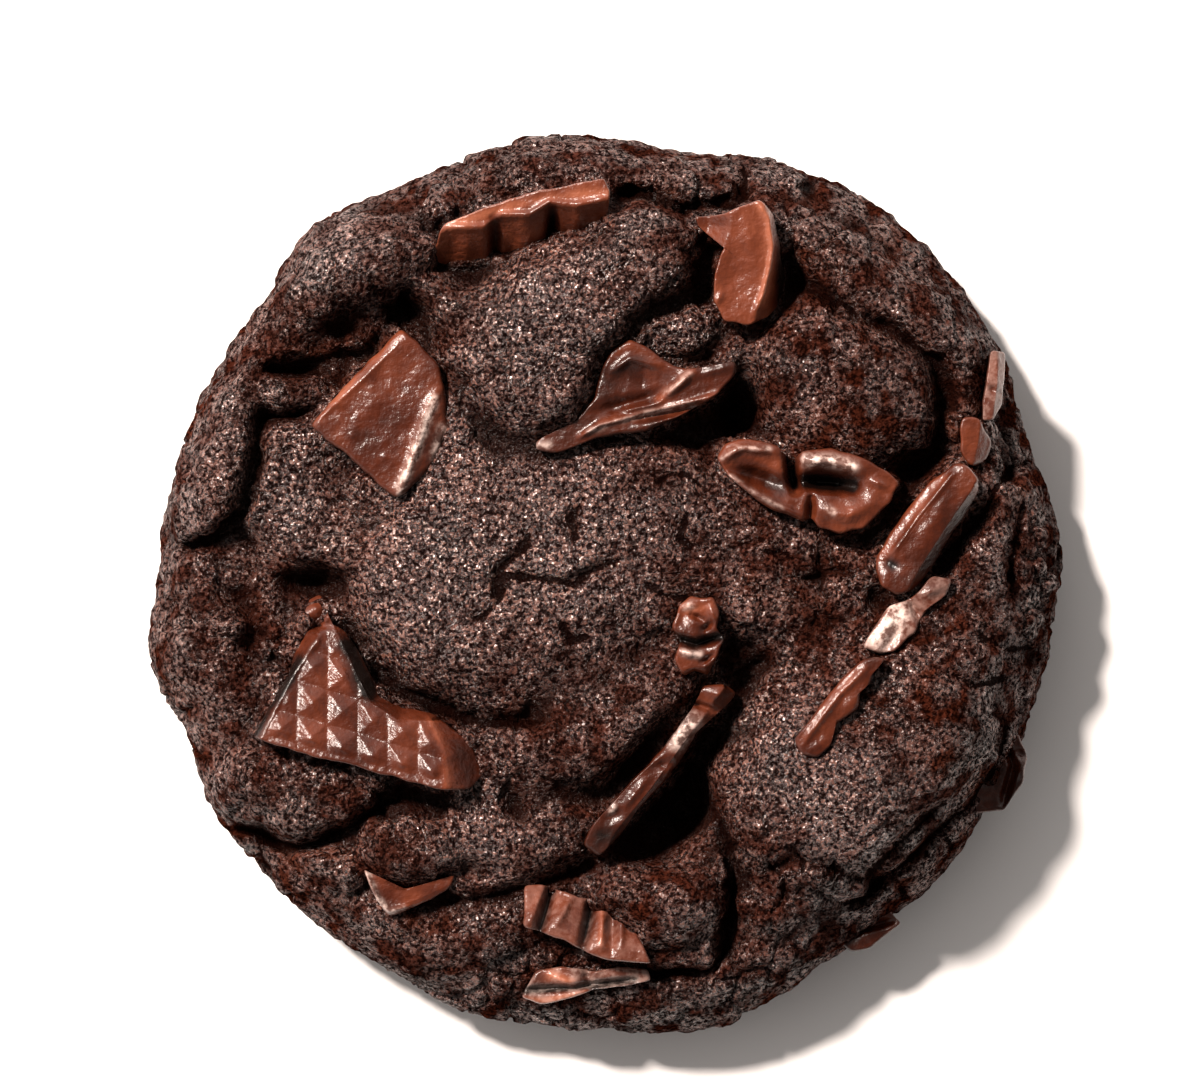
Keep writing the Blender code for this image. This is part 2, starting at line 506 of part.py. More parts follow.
def make_slab(name, slab, room=0.0):
    """A broken slab of chocolate: face, rounded edge, sides and back, as rings round its middle.

    Room swells it on every side, for the pocket that it lies in.
    """
    outline = slab_outline(slab["corners"])
    middle = outline.mean(axis=0)
    reach = np.linalg.norm(outline - middle, axis=1, keepdims=True)
    edge, thick = slab["edge"], slab["thick"]
    inset_and_depth = [
        (edge - room, -room), (0.3 * edge - room, 0.3 * edge - room), (-room, edge), (0.25 - room, thick - 0.5 * edge),
        (edge + 0.25 - room, thick + room),
    ]
    inset_and_depth = [(share * reach, -room) for share in FACE_RINGS] + inset_and_depth
    rings = []
    for inset, depth in inset_and_depth:
        plan = middle + (outline - middle) * (1 - inset / reach)
        height = slab_face(slab, plan[:, 0], plan[:, 1]) - depth
        if depth <= 0.3 * edge:
            height = height + face_relief(slab, plan[:, 0], plan[:, 1])
        rings.append(np.column_stack([plan, height]))
    around = len(outline)
    top = slab_face(slab, *middle) + face_relief(slab, *middle[:, None])[0] + room
    bottom = slab_face(slab, *middle) - thick - room
    points = np.concatenate([*rings, [(*middle, top), (*middle, bottom)]])
    return close_rings(name, points, len(rings), around, outline)


def close_rings(name, points, count, around, outline=None):
    """A solid from rings of points, with the last two points closing its first and last ring."""
    first, last = len(points) - 2, (count - 1) * around
    faces = split_quads(points, grid_faces(count, around))
    for k in range(around):
        beside = (k + 1) % around
        faces.append((first, beside, k))
        faces.append((len(points) - 1, last + k, last + beside))
    x, y = points[around: 2 * around, 0], points[around: 2 * around, 1]
    anticlockwise = outline is None or (x * np.roll(y, -1) - y * np.roll(x, -1)).sum() > 0
    if outline is not None and anticlockwise:
        faces = [face[::-1] for face in faces]
    return add_object(name, points, faces, ("dark chocolate", CHOCOLATE_COLOUR), 0.35)


def bar_table(stations):
    """A bar's stations, evened out along a softened path, with its ends rounding off."""
    given = np.array(stations)
    length = np.append(0, np.cumsum(np.linalg.norm(np.diff(given[:, :2], axis=0), axis=1)))
    count = math.ceil(length[-1] / BAR_STEP) + 1
    places = np.linspace(0, length[-1], count)
    places = np.sort(np.append(places, (0.25 * BAR_END, length[-1] - 0.25 * BAR_END)))
    table = np.column_stack([np.interp(places, length, given[:, k]) for k in range(4)])
    table[1:-1] = (table[:-2] + 2 * table[1:-1] + table[2:]) / 4
    near_end = np.clip(np.minimum(places, length[-1] - places) / BAR_END, 0, 1)
    return table, np.sqrt(1 - (1 - near_end) ** 2 * 0.75)


def make_bar(name, bar, room=0.0):
    """A bar or streak: a squarish section carried along its stations, closed at both ends.

    Room swells it on every side, for the pocket that it lies in.
    """
    table, taper = bar_table(bar["stations"])
    run = np.gradient(table[:, :2], axis=0)
    run /= np.linalg.norm(run, axis=1, keepdims=True)
    lean = math.radians(bar["lean"])
    turn = np.arange(BAR_SIDES) / BAR_SIDES * 2 * np.pi
    across = np.sign(np.cos(turn)) * np.abs(np.cos(turn)) ** BAR_SQUARENESS
    upward = np.sign(np.sin(turn)) * np.abs(np.sin(turn)) ** BAR_SQUARENESS
    rings = []
    for (x, y, crown, half), (run_x, run_y), small in zip(table, run, taper):
        if "ribs" in bar:
            share = len(rings) / (len(table) - 1)
            half = half * (0.85 + 0.3 * abs(math.sin(math.pi * bar["ribs"] * share)))
        half_deep = bar["deep"] / 2
        wide, deep = half * small + room, half_deep * small + room
        sideways = wide * across * math.cos(lean) + deep * upward * math.sin(lean) - half_deep * math.sin(lean)
        lift = deep * upward * math.cos(lean) - wide * across * math.sin(lean)
        rings.append(np.column_stack([x - run_y * sideways, y + run_x * sideways, crown - half_deep + lift]))
    reach = 0.3 + room
    ends = (rings[0].mean(axis=0) - reach * np.append(run[0], 0), rings[-1].mean(axis=0) + reach * np.append(run[-1], 0))
    return close_rings(name, np.concatenate([*rings, ends]), len(rings), BAR_SIDES)


def cut_pocket(dough, pocket):
    """Cuts the room that a chunk lies in out of the dough."""
    pocket.hide_render = True
    pocket.display_type = "WIRE"
    cut = dough.modifiers.new(pocket.name, "BOOLEAN")
    cut.operation = "DIFFERENCE"
    cut.solver = "EXACT"
    cut.object = pocket


def main():
    for old in list(bpy.data.objects):
        bpy.data.objects.remove(old)
    dough = make_dough()
    for make, kinds in ((make_slab, SLABS), (make_bar, BARS)):
        for name, chunk in kinds.items():
            made = make(name, chunk)
            made.data.shade_smooth()
            made.data.set_sharp_from_angle(angle=math.radians(40))
            cut_pocket(dough, make("pocket_" + name, chunk, POCKET_GAP))


if __name__ == "__main__":
    main()
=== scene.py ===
import itertools
import math

import bpy
import numpy as np
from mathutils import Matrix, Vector


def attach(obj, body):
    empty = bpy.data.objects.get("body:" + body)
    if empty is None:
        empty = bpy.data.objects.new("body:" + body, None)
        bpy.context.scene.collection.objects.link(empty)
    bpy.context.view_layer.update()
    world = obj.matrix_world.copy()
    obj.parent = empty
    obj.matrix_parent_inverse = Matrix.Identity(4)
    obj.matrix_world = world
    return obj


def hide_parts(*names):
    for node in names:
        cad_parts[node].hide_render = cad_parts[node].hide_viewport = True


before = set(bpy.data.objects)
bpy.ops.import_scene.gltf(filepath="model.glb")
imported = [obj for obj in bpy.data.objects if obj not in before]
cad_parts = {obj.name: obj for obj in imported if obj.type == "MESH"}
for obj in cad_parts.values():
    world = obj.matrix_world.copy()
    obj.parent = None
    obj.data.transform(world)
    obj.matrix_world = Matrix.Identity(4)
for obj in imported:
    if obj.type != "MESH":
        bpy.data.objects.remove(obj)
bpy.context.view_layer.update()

# The chunks broken from bars. Milk and dark chocolate snapped by hand: a moulded face with its waffle or
# its ribs, clean broken walls, and edges that softened in the oven and set again with a gloss. They are
# made before the dough, which lies round them. The numbers are millimetres from the middle of the underside.
MM = 0.001
OUTLINE_STEP = 0.24  # distance between the points of an outline
BROKEN_EDGE = (1.3, 0.16)  # size and reach of the unevenness of a broken edge
FACE_SWELL = ((2.6, 0.10), (1.1, 0.045))  # sizes and heights of the waves left in a face that melted and set


def random_of(cells, seed):
    """A fixed number from -1 to 1 for each cell: its whole numbers times primes, mixed and cut to 16 bits."""
    mixed = seed * 83492791
    for k, prime in enumerate((73856093, 19349663, 50331653)[:cells.shape[-1]]):
        mixed = mixed ^ (cells[..., k] * prime)
    mixed = ((mixed ^ (mixed >> 13)) * 1274126177) & 0xFFFFFFFF
    return ((mixed ^ (mixed >> 16)) & 0xFFFF) / 32767.5 - 1.0


def noise(points, cell, seed):
    """Random heights on a square or cubic lattice, joined by smooth steps, from -1 to 1."""
    cells = np.floor(points / cell).astype(np.int64)
    part = points / cell - cells
    part = part * part * (3 - 2 * part)
    total = 0
    for corner in itertools.product((0, 1), repeat=points.shape[-1]):
        total = total + np.prod(np.where(corner, part, 1 - part), axis=-1) * random_of(cells + corner, seed)
    return total


def nearest_on_path(plan, path):
    """Distance from points of the plan to a path, the values that its points carry, blended along it, and
    the side that a point is on: 1 on the left of someone who walks along the path, -1 on the right."""
    path = np.asarray(path, float)
    distance = np.full(plan.shape[:-1], np.inf)
    side = np.zeros(plan.shape[:-1])
    carried = np.zeros(plan.shape[:-1] + (path.shape[1],))
    for start, end in zip(path, path[1:]):
        step = end - start
        away = plan - start[:2]
        along = np.clip(away @ step[:2] / (step[:2] @ step[:2]), 0, 1)
        point = start + along[..., None] * step
        here = np.linalg.norm(plan - point[..., :2], axis=-1)
        closer = here < distance
        distance = np.where(closer, here, distance)
        carried = np.where(closer[..., None], point, carried)
        side = np.where(closer, np.sign(step[0] * away[..., 1] - step[1] * away[..., 0]), side)
    return distance, carried, side


def groove(plan, half_width, depth, path):
    """A soft-sided groove, as deep as a bell curve of the distance to its path, shallower at its ends."""
    distance, carried, _ = nearest_on_path(plan, path)
    ends = np.minimum(*(np.linalg.norm(carried - end, axis=-1) for end in (path[0], path[-1])))
    shallower = 0.45 + 0.55 * np.clip(ends / (2 * half_width), 0, 1)
    return depth * shallower * np.exp(-((distance / half_width) ** 2))


def relief(plan, chunk):
    """What a chunk's face adds to its plane: less its grooves (below 0 they are ridges), less its falls,
    which drop in proportion to the distance past the left side of a path, plus its waffle's pyramids."""
    height = np.zeros(plan.shape[:-1])
    for half_width, depth, path in chunk.get("grooves", ()):
        height -= groove(plan, half_width, depth, path)
    for slope, most, path in chunk.get("falls", ()):
        distance, _, side = nearest_on_path(plan, path)
        height -= np.minimum(slope * distance * (side > 0), most)
    if "waffle" in chunk:
        origin, across, along, rise, inside = chunk["waffle"]
        u, v = np.moveaxis((plan - origin) @ np.linalg.inv(np.array([across, along])), -1, 0)
        peak = 1 - 2 * np.maximum(np.abs(u - np.round(u)), np.abs(v - np.round(v)))
        deep = -outside_of(plan, inside)
        height += rise * peak * np.clip(deep / 0.7, 0, 1)
    for cell, rise in FACE_SWELL:
        height += rise * chunk.get("swell", 1.0) * noise(plan, cell, 21)
    return height


def outside_of(plan, corners):
    """Signed distance to a closed outline, positive outside it."""
    distance, _, _ = nearest_on_path(plan, tuple(corners) + (corners[0],))
    inside = np.zeros(plan.shape[:-1], bool)
    for (x0, y0), (x1, y1) in zip(corners, tuple(corners[1:]) + (corners[0],)):
        if y0 != y1:
            crosses = (y0 > plan[..., 1]) != (y1 > plan[..., 1])
            inside ^= crosses & (plan[..., 0] < (x1 - x0) * (plan[..., 1] - y0) / (y1 - y0) + x0)
    return np.where(inside, -distance, distance)


def face_height(plan, chunk):
    """Height of a chunk's face: a tilted plane through its middle."""
    height, slope_x, slope_y = chunk["face"]
    return height + (plan - np.mean(chunk["corners"], axis=0)) @ (slope_x, slope_y)


def carry(mesh, name, values):
    """Gives each point of a mesh its value, under a name that a material reads."""
    layer = mesh.attributes.new(name, "FLOAT", "POINT")
    layer.data.foreach_set("value", values.astype(np.float32))


def placed(name, data):
    """A new object in the scene that shows a mesh, or holds a lamp or a camera."""
    made = bpy.data.objects.new(name, data)
    bpy.context.scene.collection.objects.link(made)
    return made


def closed_mesh(name, rows, attributes):
    """A closed piece from rows of points that each run round it, the first and last row drawn to a point."""
    around = rows.shape[1]
    ends = rows[0].mean(axis=0), rows[-1].mean(axis=0)
    points = np.concatenate([rows.reshape(-1, 3), ends])
    index = np.arange(rows.shape[0] * around).reshape(rows.shape[:2])
    beside = np.roll(index, -1, axis=1)
    quads = np.stack([index[:-1], index[1:], beside[1:], beside[:-1]], axis=-1).reshape(-1, 4)
    first = np.stack([np.full(around, len(points) - 2), index[0], beside[0]], axis=-1)
    last = np.stack([np.full(around, len(points) - 1), beside[-1], index[-1]], axis=-1)
    mesh = bpy.data.meshes.new(name)
    mesh.from_pydata((points * MM).tolist(), [], quads.tolist() + first.tolist() + last.tolist())
    for key, values in attributes.items():
        values = np.broadcast_to(values, rows.shape[:2]).ravel()
        carry(mesh, key, np.append(values, (values[0], values[-1])))
    mesh.shade_smooth()
    mesh.update()
    return placed(name, mesh)


def marks(plan, chunk, kind):
    """The sum of a chunk's marks of a kind (amount, reach, path), each a bell curve of the distance."""
    total = np.zeros(plan.shape[:-1])
    for amount, reach, path in chunk.get(kind, ()):
        total += amount * np.exp(-((nearest_on_path(plan, path)[0] / reach) ** 2))
    return total


def broken_slab(name, chunk):
    """Rings round a slab's middle: over the face, round its edge, down the walls and in under its back.

    Each ring is the outline drawn in towards the middle by an inset, at a depth below the face; the outline
    runs through the corners, rounded by averaging neighbours and roughened by noise."""
    corners = np.array(chunk["corners"])
    ends = np.roll(corners, -1, axis=0)
    if (corners[:, 0] * ends[:, 1] - corners[:, 1] * ends[:, 0]).sum() < 0:
        corners, ends = corners[::-1], np.roll(corners[::-1], -1, axis=0)
    counts = np.ceil(np.linalg.norm(ends - corners, axis=1) / OUTLINE_STEP).astype(int)
    outline = np.concatenate([
        start + (end - start) * np.arange(count)[:, None] / count
        for start, end, count in zip(corners, ends, counts)
    ])
    for _ in range(chunk.get("rounding", 5)):
        outline = (np.roll(outline, 1, axis=0) + 2 * outline + np.roll(outline, -1, axis=0)) / 4
    middle = np.mean(chunk["corners"], axis=0)
    reach = np.linalg.norm(outline - middle, axis=1, keepdims=True)
    uneven = BROKEN_EDGE[1] * noise(outline, BROKEN_EDGE[0], 11)
    outline = outline + (outline - middle) / reach * uneven[:, None]
    edge, thick = chunk["edge"], chunk["thick"]
    face_rings, edge_rings, wall_rings, back_rings = 44, 6, 13, 6
    taper = 0.3  # how far the walls lean in from the edge down to the back
    share = np.linspace(0.97, 0.0, face_rings)[:, None, None]
    turn = np.linspace(0, np.pi / 2, edge_rings + 1)[1:, None, None]
    wall = np.linspace(0, 1, wall_rings + 1)[1:, None, None]
    under = np.linspace(0.2, 0.95, back_rings)[:, None, None]
    inset = np.concatenate([
        edge + share * (reach - edge),
        np.broadcast_to(edge * (1 - np.sin(turn)), (edge_rings, *reach.shape)),
        np.broadcast_to(taper * wall, (wall_rings, *reach.shape)),
        taper + under * (reach - taper),
    ])
    depth = np.concatenate([
        np.zeros(face_rings),
        edge * (1 - np.cos(turn.ravel())),
        edge + (thick - edge) * wall.ravel(),
        np.full(back_rings, thick),
    ])[:, None]
    plan = middle + (outline - middle) * (1 - inset / reach)
    face = relief(plan, chunk)
    height = face_height(plan, chunk) - depth + face * np.clip(1 - depth / (0.8 * thick), 0, 1)
    rows = np.concatenate([plan, height[..., None]], axis=-1)
    ragged = 0.16 * noise(rows, 1.4, 31) + 0.07 * noise(rows, 0.6, 32)
    ragged = ragged * np.clip((depth - 0.5 * edge) / 1.5, 0, 1)
    rows[..., :2] += (outline - middle) / reach * ragged[..., None]
    # Tone differs at random over each chunk; it is also painted darker down the walls as shade, and the marks
    # add painted light and shade on the face.
    tone = chunk["tone"] + 0.16 * noise(rows, 2.4, 41) - 0.25 * np.clip(depth / 1.5, 0, 1) * (depth > edge)
    tone = tone + marks(plan, chunk, "painted_shading")
    # A painted sheen over the face and painted highlights along marks, kept off the walls by the shine.
    painted_sheen = chunk.get("painted_sheen", 0.0) + marks(plan, chunk, "painted_highlights")
    shine = 1 - 0.85 * np.clip((depth - edge) / 0.8, 0, 1)
    return closed_mesh(name, rows, {"tone": tone, "painted_sheen": painted_sheen * shine, "shine": shine})


def linear(code):
    """An sRGB hex colour as the linear numbers that Blender uses."""
    parts = [int(code[k:k + 2], 16) / 255 for k in (1, 3, 5)]
    return (*(p / 12.92 if p <= 0.04045 else ((p + 0.055) / 1.055) ** 2.4 for p in parts), 1.0)


def add_node(tree, kind, settings=None, **inputs):
    """Adds a node: settings are its own properties, inputs its sockets, each given a value or a link.

    A socket's name is written with _ for a blank, and inputs of the same name are told apart by i0, i1."""
    made = tree.nodes.new("ShaderNode" + kind)
    for key, value in (settings or {}).items():
        setattr(made, key, value)
    for key, value in inputs.items():
        socket = made.inputs[int(key[1:]) if key[1:].isdigit() else key.replace("_", " ")]
        if isinstance(value, bpy.types.NodeSocket):
            tree.links.new(value, socket)
        else:
            socket.default_value = value
    return made


def new_material(name):
    """A material with its Principled shader, its node tree and a texture coordinate node."""
    material = bpy.data.materials.new(name)
    material.use_nodes = True
    tree = material.node_tree
    return material, tree, tree.nodes["Principled BSDF"], add_node(tree, "TexCoord").outputs["Object"]


# Chocolate: cocoa butter, cocoa and milk, moulded, snapped, half melted in the oven and set again. The eye
# sees a warm brown with a soft gloss that breaks on small waves; a paler colour is mixed in as a painted
# sheen and painted highlights.
chocolate, tree, shader, place = new_material("melted_and_set_chocolate")
tone = add_node(tree, "Attribute", {"attribute_name": "tone"}).outputs["Fac"]
painted_sheen = add_node(tree, "Attribute", {"attribute_name": "painted_sheen"}).outputs["Fac"]
shine = add_node(tree, "Attribute", {"attribute_name": "shine"}).outputs["Fac"]
mottle = add_node(tree, "TexNoise", Vector=place, Scale=900.0, Detail=3.0, Roughness=0.6).outputs["Fac"]
mixed = add_node(tree, "Math", {"operation": "MULTIPLY_ADD"}, i0=mottle, i1=0.30, i2=tone)
mixed = add_node(tree, "Math", {"operation": "SUBTRACT"}, i0=mixed.outputs[0], i1=0.15)
brown = add_node(tree, "ValToRGB", i0=mixed.outputs[0])
brown.color_ramp.elements.new(0.3)
brown.color_ramp.elements.new(0.6)
for element, code in zip(brown.color_ramp.elements, ("#0B0200", "#3F1606", "#642F1B", "#9A5A40")):
    element.color = linear(code)
# Painted sheen and highlights: a pale colour mixed in, in patches of the mottle.
patch = add_node(tree, "MapRange", i0=mottle, i1=0.42, i2=0.60, i3=0.1, i4=1.0)
coat_and_painted_sheen = add_node(tree, "Math", {"operation": "MULTIPLY", "use_clamp": True}, i0=patch.outputs[0], i1=painted_sheen)
colour = add_node(tree, "Mix", {"data_type": "RGBA"},
                  i0=coat_and_painted_sheen.outputs[0], i6=brown.outputs[0], i7=linear("#EED6CB"))
tree.links.new(colour.outputs[2], shader.inputs["Base Color"])
melted = add_node(tree, "MapRange", i0=mottle, i1=0.35, i2=0.65, i3=1.0, i4=0.6)
melted = add_node(tree, "Math", {"operation": "MULTIPLY"}, i0=melted.outputs[0], i1=shine)
tree.links.new(melted.outputs[0], shader.inputs["Coat Weight"])
shader.inputs["Coat Roughness"].default_value = 0.25
shader.inputs["Coat IOR"].default_value = 1.45
shader.inputs["Roughness"].default_value = 0.5
shader.inputs["Specular IOR Level"].default_value = 0.12
waves = add_node(tree, "TexNoise", Vector=place, Scale=1400.0, Detail=4.0, Roughness=0.55)
bump = add_node(tree, "Bump", Strength=0.7, Distance=0.00022, Height=waves.outputs["Fac"])
tree.links.new(bump.outputs[0], shader.inputs["Normal"])
tree.links.new(bump.outputs[0], shader.inputs["Coat Normal"])

# Each chunk has the corners of its outline, its face (height at the middle, slopes along x and y), thickness,
# rounded edge and tone, then grooves (half width, depth, path), falls (slope, most, path), marks of painted
# light and shade and painted highlights (amount, reach, path), and the waffle's first peak, its two steps,
# rise and outline. Rounding is how often the outline is averaged, and swell how high the face's waves are; a
# few chunks carry a painted sheen over the whole face.
CHUNKS = {
    # the waffle-faced corner of a bar, its face turned up to the light
    "waffle_chunk": dict(
        corners=((-27.6, -3.4), (-28.3, -0.9), (-30.0, -1.8), (-30.4, -4.6), (-31.2, -8.4), (-34.9, -14.9),
                 (-30.5, -16.4), (-25.0, -17.8), (-16.0, -20.2), (-13.4, -20.2), (-11.9, -18.4),
                 (-13.6, -15.4), (-17.1, -12.7), (-20.8, -12.2), (-22.6, -10.4), (-24.2, -7.2),
                 (-25.8, -4.6)),
        face=(17.6, 0.0, -0.22), thick=5.2, edge=0.3, tone=0.37,
        waffle=((-32.0, -10.7), (3.0, -0.9), (0.0, -3.4), 0.62,
                ((-28.6, -4.8), (-34.0, -14.6), (-26.4, -16.8), (-16.6, -19.2), (-15.4, -17.2),
                 (-17.8, -13.6), (-21.4, -13.0), (-24.4, -9.8), (-26.0, -6.6))),
        grooves=((0.35, -0.35, ((-28.2, -4.9), (-31.4, -9.6), (-34.0, -14.4))),
                 (0.8, -1.5, ((-28.2, -2.0), (-29.4, -2.8))), (0.4, 1.0, ((-27.4, -3.9), (-30.2, -4.1)))),
        falls=((2.2, 3.0, ((-34.3, -15.4), (-31.4, -9.9), (-28.9, -5.2))),
               (0.9, 3.6, ((-17.6, -12.6), (-15.8, -16.8), (-15.6, -20.6))),
               (2.0, 3.0, ((-26.6, -4.6), (-24.8, -8.4), (-23.2, -11.6), (-20.5, -13.3), (-17.4, -13.4)))),
        painted_shading=((-0.5, 0.9, ((-25.6, -6.0), (-23.4, -10.4))),
               (-0.25, 1.2, ((-14.0, -16.0), (-13.0, -19.4))),
               (0.3, 0.5, ((-17.2, -13.4), (-15.7, -16.6), (-15.6, -19.6))),
               (-0.45, 0.7, ((-30.4, -7.4), (-34.6, -14.4)))),
    ),
    # the square corner, a bevel along its upper left edge
    "square_chunk": dict(
        corners=((-20.2, 25.5), (-25.2, 20.3), (-29.3, 15.8), (-25.0, 12.4), (-20.7, 8.5), (-19.3, 9.6),
                 (-17.2, 12.0), (-15.6, 15.2), (-15.8, 18.4), (-16.3, 21.5), (-18.8, 24.4)),
        face=(17.8, 0.02, -0.02), thick=5.0, edge=0.5, tone=0.33,
        falls=((0.42, 2.0, ((-28.9, 14.8), (-28.2, 16.6), (-24.5, 19.9), (-21.4, 22.9), (-19.4, 25.4))),
               (0.5, 1.4, ((-16.0, 19.8), (-17.4, 16.6), (-18.7, 13.6), (-19.8, 10.4), (-20.6, 8.0)))),
        grooves=((0.3, -0.15, ((-28.0, 16.9), (-24.5, 20.0), (-21.5, 23.0))),
                 (0.5, -0.35, ((-16.8, 19.0), (-18.0, 16.6), (-18.7, 13.6), (-19.5, 11.4), (-20.4, 9.4))),
                 (0.9, -0.1, ((-26.5, 14.6), (-21.6, 19.2))), (1.0, -0.08, ((-24.0, 12.8), (-18.8, 18.0))),
                 (0.35, -0.3, ((-26.9, 18.0), (-26.0, 17.8))), (0.3, -0.3, ((-25.2, 14.9), (-24.8, 14.7))),
                 (0.3, -0.3, ((-21.9, 12.8), (-21.6, 12.6)))),
        painted_shading=((0.3, 0.7, ((-29.0, 16.2), (-24.8, 20.5), (-20.4, 25.0))),
               (0.15, 0.8, ((-16.6, 19.4), (-18.2, 16.0), (-19.5, 12.0), (-20.5, 9.4)))),
        painted_highlights=((1.0, 0.4, ((-16.9, 18.4), (-18.1, 15.0), (-19.0, 12.6), (-20.3, 9.4))),
                (0.5, 0.5, ((-16.0, 15.6), (-16.9, 12.8)))),
    ),
    # the tall curved piece standing in the north notch
    "curved_slab": dict(
        corners=((8.9, 36.5), (11.9, 36.8), (15.2, 38.0), (16.6, 36.8), (17.4, 33.0), (17.8, 30.8),
                 (17.2, 27.6), (15.6, 26.2), (13.8, 25.7), (11.8, 26.1), (10.7, 28.1), (10.9, 30.8),
                 (11.8, 33.6), (10.6, 34.6), (9.2, 35.5)),
        face=(19.6, 0.0, 0.05), thick=5.4, edge=0.2, tone=0.6, rounding=2,
        falls=((2.2, 3.6,
                ((15.4, 38.4), (16.3, 36.2), (16.7, 33.5), (16.4, 31.3), (15.7, 28.6), (14.6, 25.6))),
               (0.8, 1.6, ((11.6, 33.2), (12.4, 35.4), (12.2, 37.6)))),
        grooves=((0.25, -0.3,
                  ((15.2, 37.6), (16.1, 36.2), (16.5, 33.5), (16.2, 31.3), (15.5, 28.6), (14.6, 26.7))),
                 (1.3, 0.5, ((12.6, 31.4), (13.2, 29.6))), (0.35, -0.4, ((11.4, 28.6), (11.0, 28.0))),
                 (0.9, -0.3, ((13.8, 35.6), (14.6, 32.6)))),
        painted_shading=((-0.7, 0.8, ((17.4, 35.6), (17.6, 28.0))), (-0.25, 1.0, ((9.4, 36.2), (11.4, 36.0))),
               (0.25, 0.45, ((15.2, 37.6), (16.1, 36.2), (16.5, 33.5), (16.2, 31.3), (15.4, 28.0)))),
    ),
    # a piece that melted into a shallow bowl with a thin blade to its right
    "pool_chunk": dict(
        corners=((-6.9, 13.3), (-6.7, 14.4), (-3.0, 16.2), (-0.9, 18.8), (-0.3, 21.4), (0.7, 23.3),
                 (2.4, 24.3), (4.6, 23.2), (6.6, 21.6), (8.6, 21.4), (12.8, 22.2), (12.9, 21.0),
                 (11.2, 18.9), (7.6, 16.8), (4.2, 15.4), (-0.5, 14.7), (-4.4, 13.1)),
        face=(19.0, 0.05, 0.02), thick=4.4, edge=0.4, tone=0.22, rounding=6,
        grooves=((1.5, 1.3, ((2.4, 20.4), (5.0, 20.0))),
                 (0.4, -0.5, ((0.8, 21.2), (2.4, 22.4), (5.2, 21.7))),
                 (0.45, -0.8, ((5.4, 18.4), (7.2, 19.8), (8.6, 21.1))),
                 (0.3, -0.4, ((1.8, 17.3), (5.4, 18.1))),
                 (0.3, -0.5, ((-2.5, 14.7), (-0.5, 15.9), (3.5, 16.9), (7.5, 17.8), (11.2, 18.9))),
                 (0.28, -0.45, ((4.4, 15.9), (7.0, 16.6), (10.6, 18.3))),
                 (0.5, 1.0, ((2.6, 16.5), (9.4, 17.7))), (0.7, 0.9, ((-0.6, 17.2), (5.6, 18.9))),
                 (0.45, -0.3, ((9.4, 20.9), (12.4, 21.6)))),
        painted_shading=((0.35, 0.5, ((5.4, 18.4), (7.2, 19.8), (8.6, 21.1))),
               (0.22, 0.5, ((-2.5, 14.7), (-0.5, 15.9), (3.5, 16.9), (7.5, 17.8), (11.2, 18.9))),
               (0.2, 0.8, ((0.4, 22.4), (2.4, 23.8), (4.6, 22.9)))),
        painted_highlights=((0.45, 0.35, ((-6.5, 13.8), (-5.6, 13.9))),
                (0.3, 0.3, ((-1.5, 15.3), (3.5, 16.9), (8.5, 18.0))),
                (0.3, 0.3, ((6.0, 19.0), (8.4, 21.0)))),
    ),
    # two pieces that melted together over a dark gap
    "twin_chunk": dict(
        corners=((11.1, 12.6), (12.0, 14.0), (14.0, 14.6), (17.0, 13.9), (18.0, 12.6), (18.7, 12.4),
                 (19.6, 13.3), (22.7, 13.5), (25.5, 12.6), (27.9, 11.4), (29.1, 10.1), (28.4, 8.4),
                 (27.0, 7.1), (25.6, 5.6), (23.2, 5.1), (21.2, 5.7), (20.4, 6.8), (19.6, 6.2), (17.5, 7.1),
                 (14.6, 8.7), (12.2, 10.7)),
        face=(18.8, -0.02, 0.02), thick=4.6, edge=0.35, tone=0.44, rounding=2, swell=1.6,
        grooves=((0.55, 3.4, ((18.3, 13.8), (18.5, 10.8), (18.9, 9.4))),
                 (0.8, 3.2, ((19.6, 10.3), (22.4, 10.2), (24.6, 9.8))),
                 (0.9, 1.5, ((13.0, 11.4), (15.4, 10.6), (17.6, 9.8))),
                 (0.45, -0.7, ((11.6, 12.6), (13.4, 13.6), (16.6, 13.2))),
                 (0.6, -0.9, ((19.8, 12.4), (22.4, 12.3), (25.0, 11.5))),
                 (0.4, -0.5, ((12.2, 11.0), (14.6, 9.3), (17.4, 7.8), (19.2, 6.9))),
                 (0.8, -0.7, ((21.6, 7.4), (24.0, 6.9), (26.2, 8.0))),
                 (0.4, 1.6, ((20.2, 6.2), (20.4, 8.6))), (0.35, -0.5, ((26.4, 10.4), (27.6, 9.8)))),
        painted_shading=((-0.9, 0.7, ((20.0, 10.3), (24.4, 9.9))), (-0.8, 0.4, ((18.3, 13.4), (18.8, 9.8))),
               (-0.25, 0.9, ((13.4, 11.3), (17.2, 10.0)))),
        painted_highlights=((1.1, 0.5, ((20.0, 12.4), (22.4, 12.3), (24.4, 11.8))),
                (0.4, 0.25, ((11.6, 12.6), (12.8, 13.6), (16.2, 13.5))),
                (0.3, 0.25, ((12.4, 10.8), (14.6, 9.2), (17.4, 7.7))),
                (0.6, 0.3, ((21.8, 7.8), (22.6, 7.2)))),
    ),
    # three ribs of a moulded bar on the south rim
    "ribbed_slab": dict(
        corners=((-8.0, -29.9), (-6.0, -29.9), (-3.6, -30.7), (-1.4, -31.4), (1.8, -32.6), (3.6, -35.2),
                 (4.6, -37.6), (0.0, -37.2), (-4.2, -35.2), (-8.0, -33.9)),
        face=(15.9, -0.02, 0.0), thick=4.6, edge=0.4, tone=0.46, painted_sheen=0.05, rounding=3,
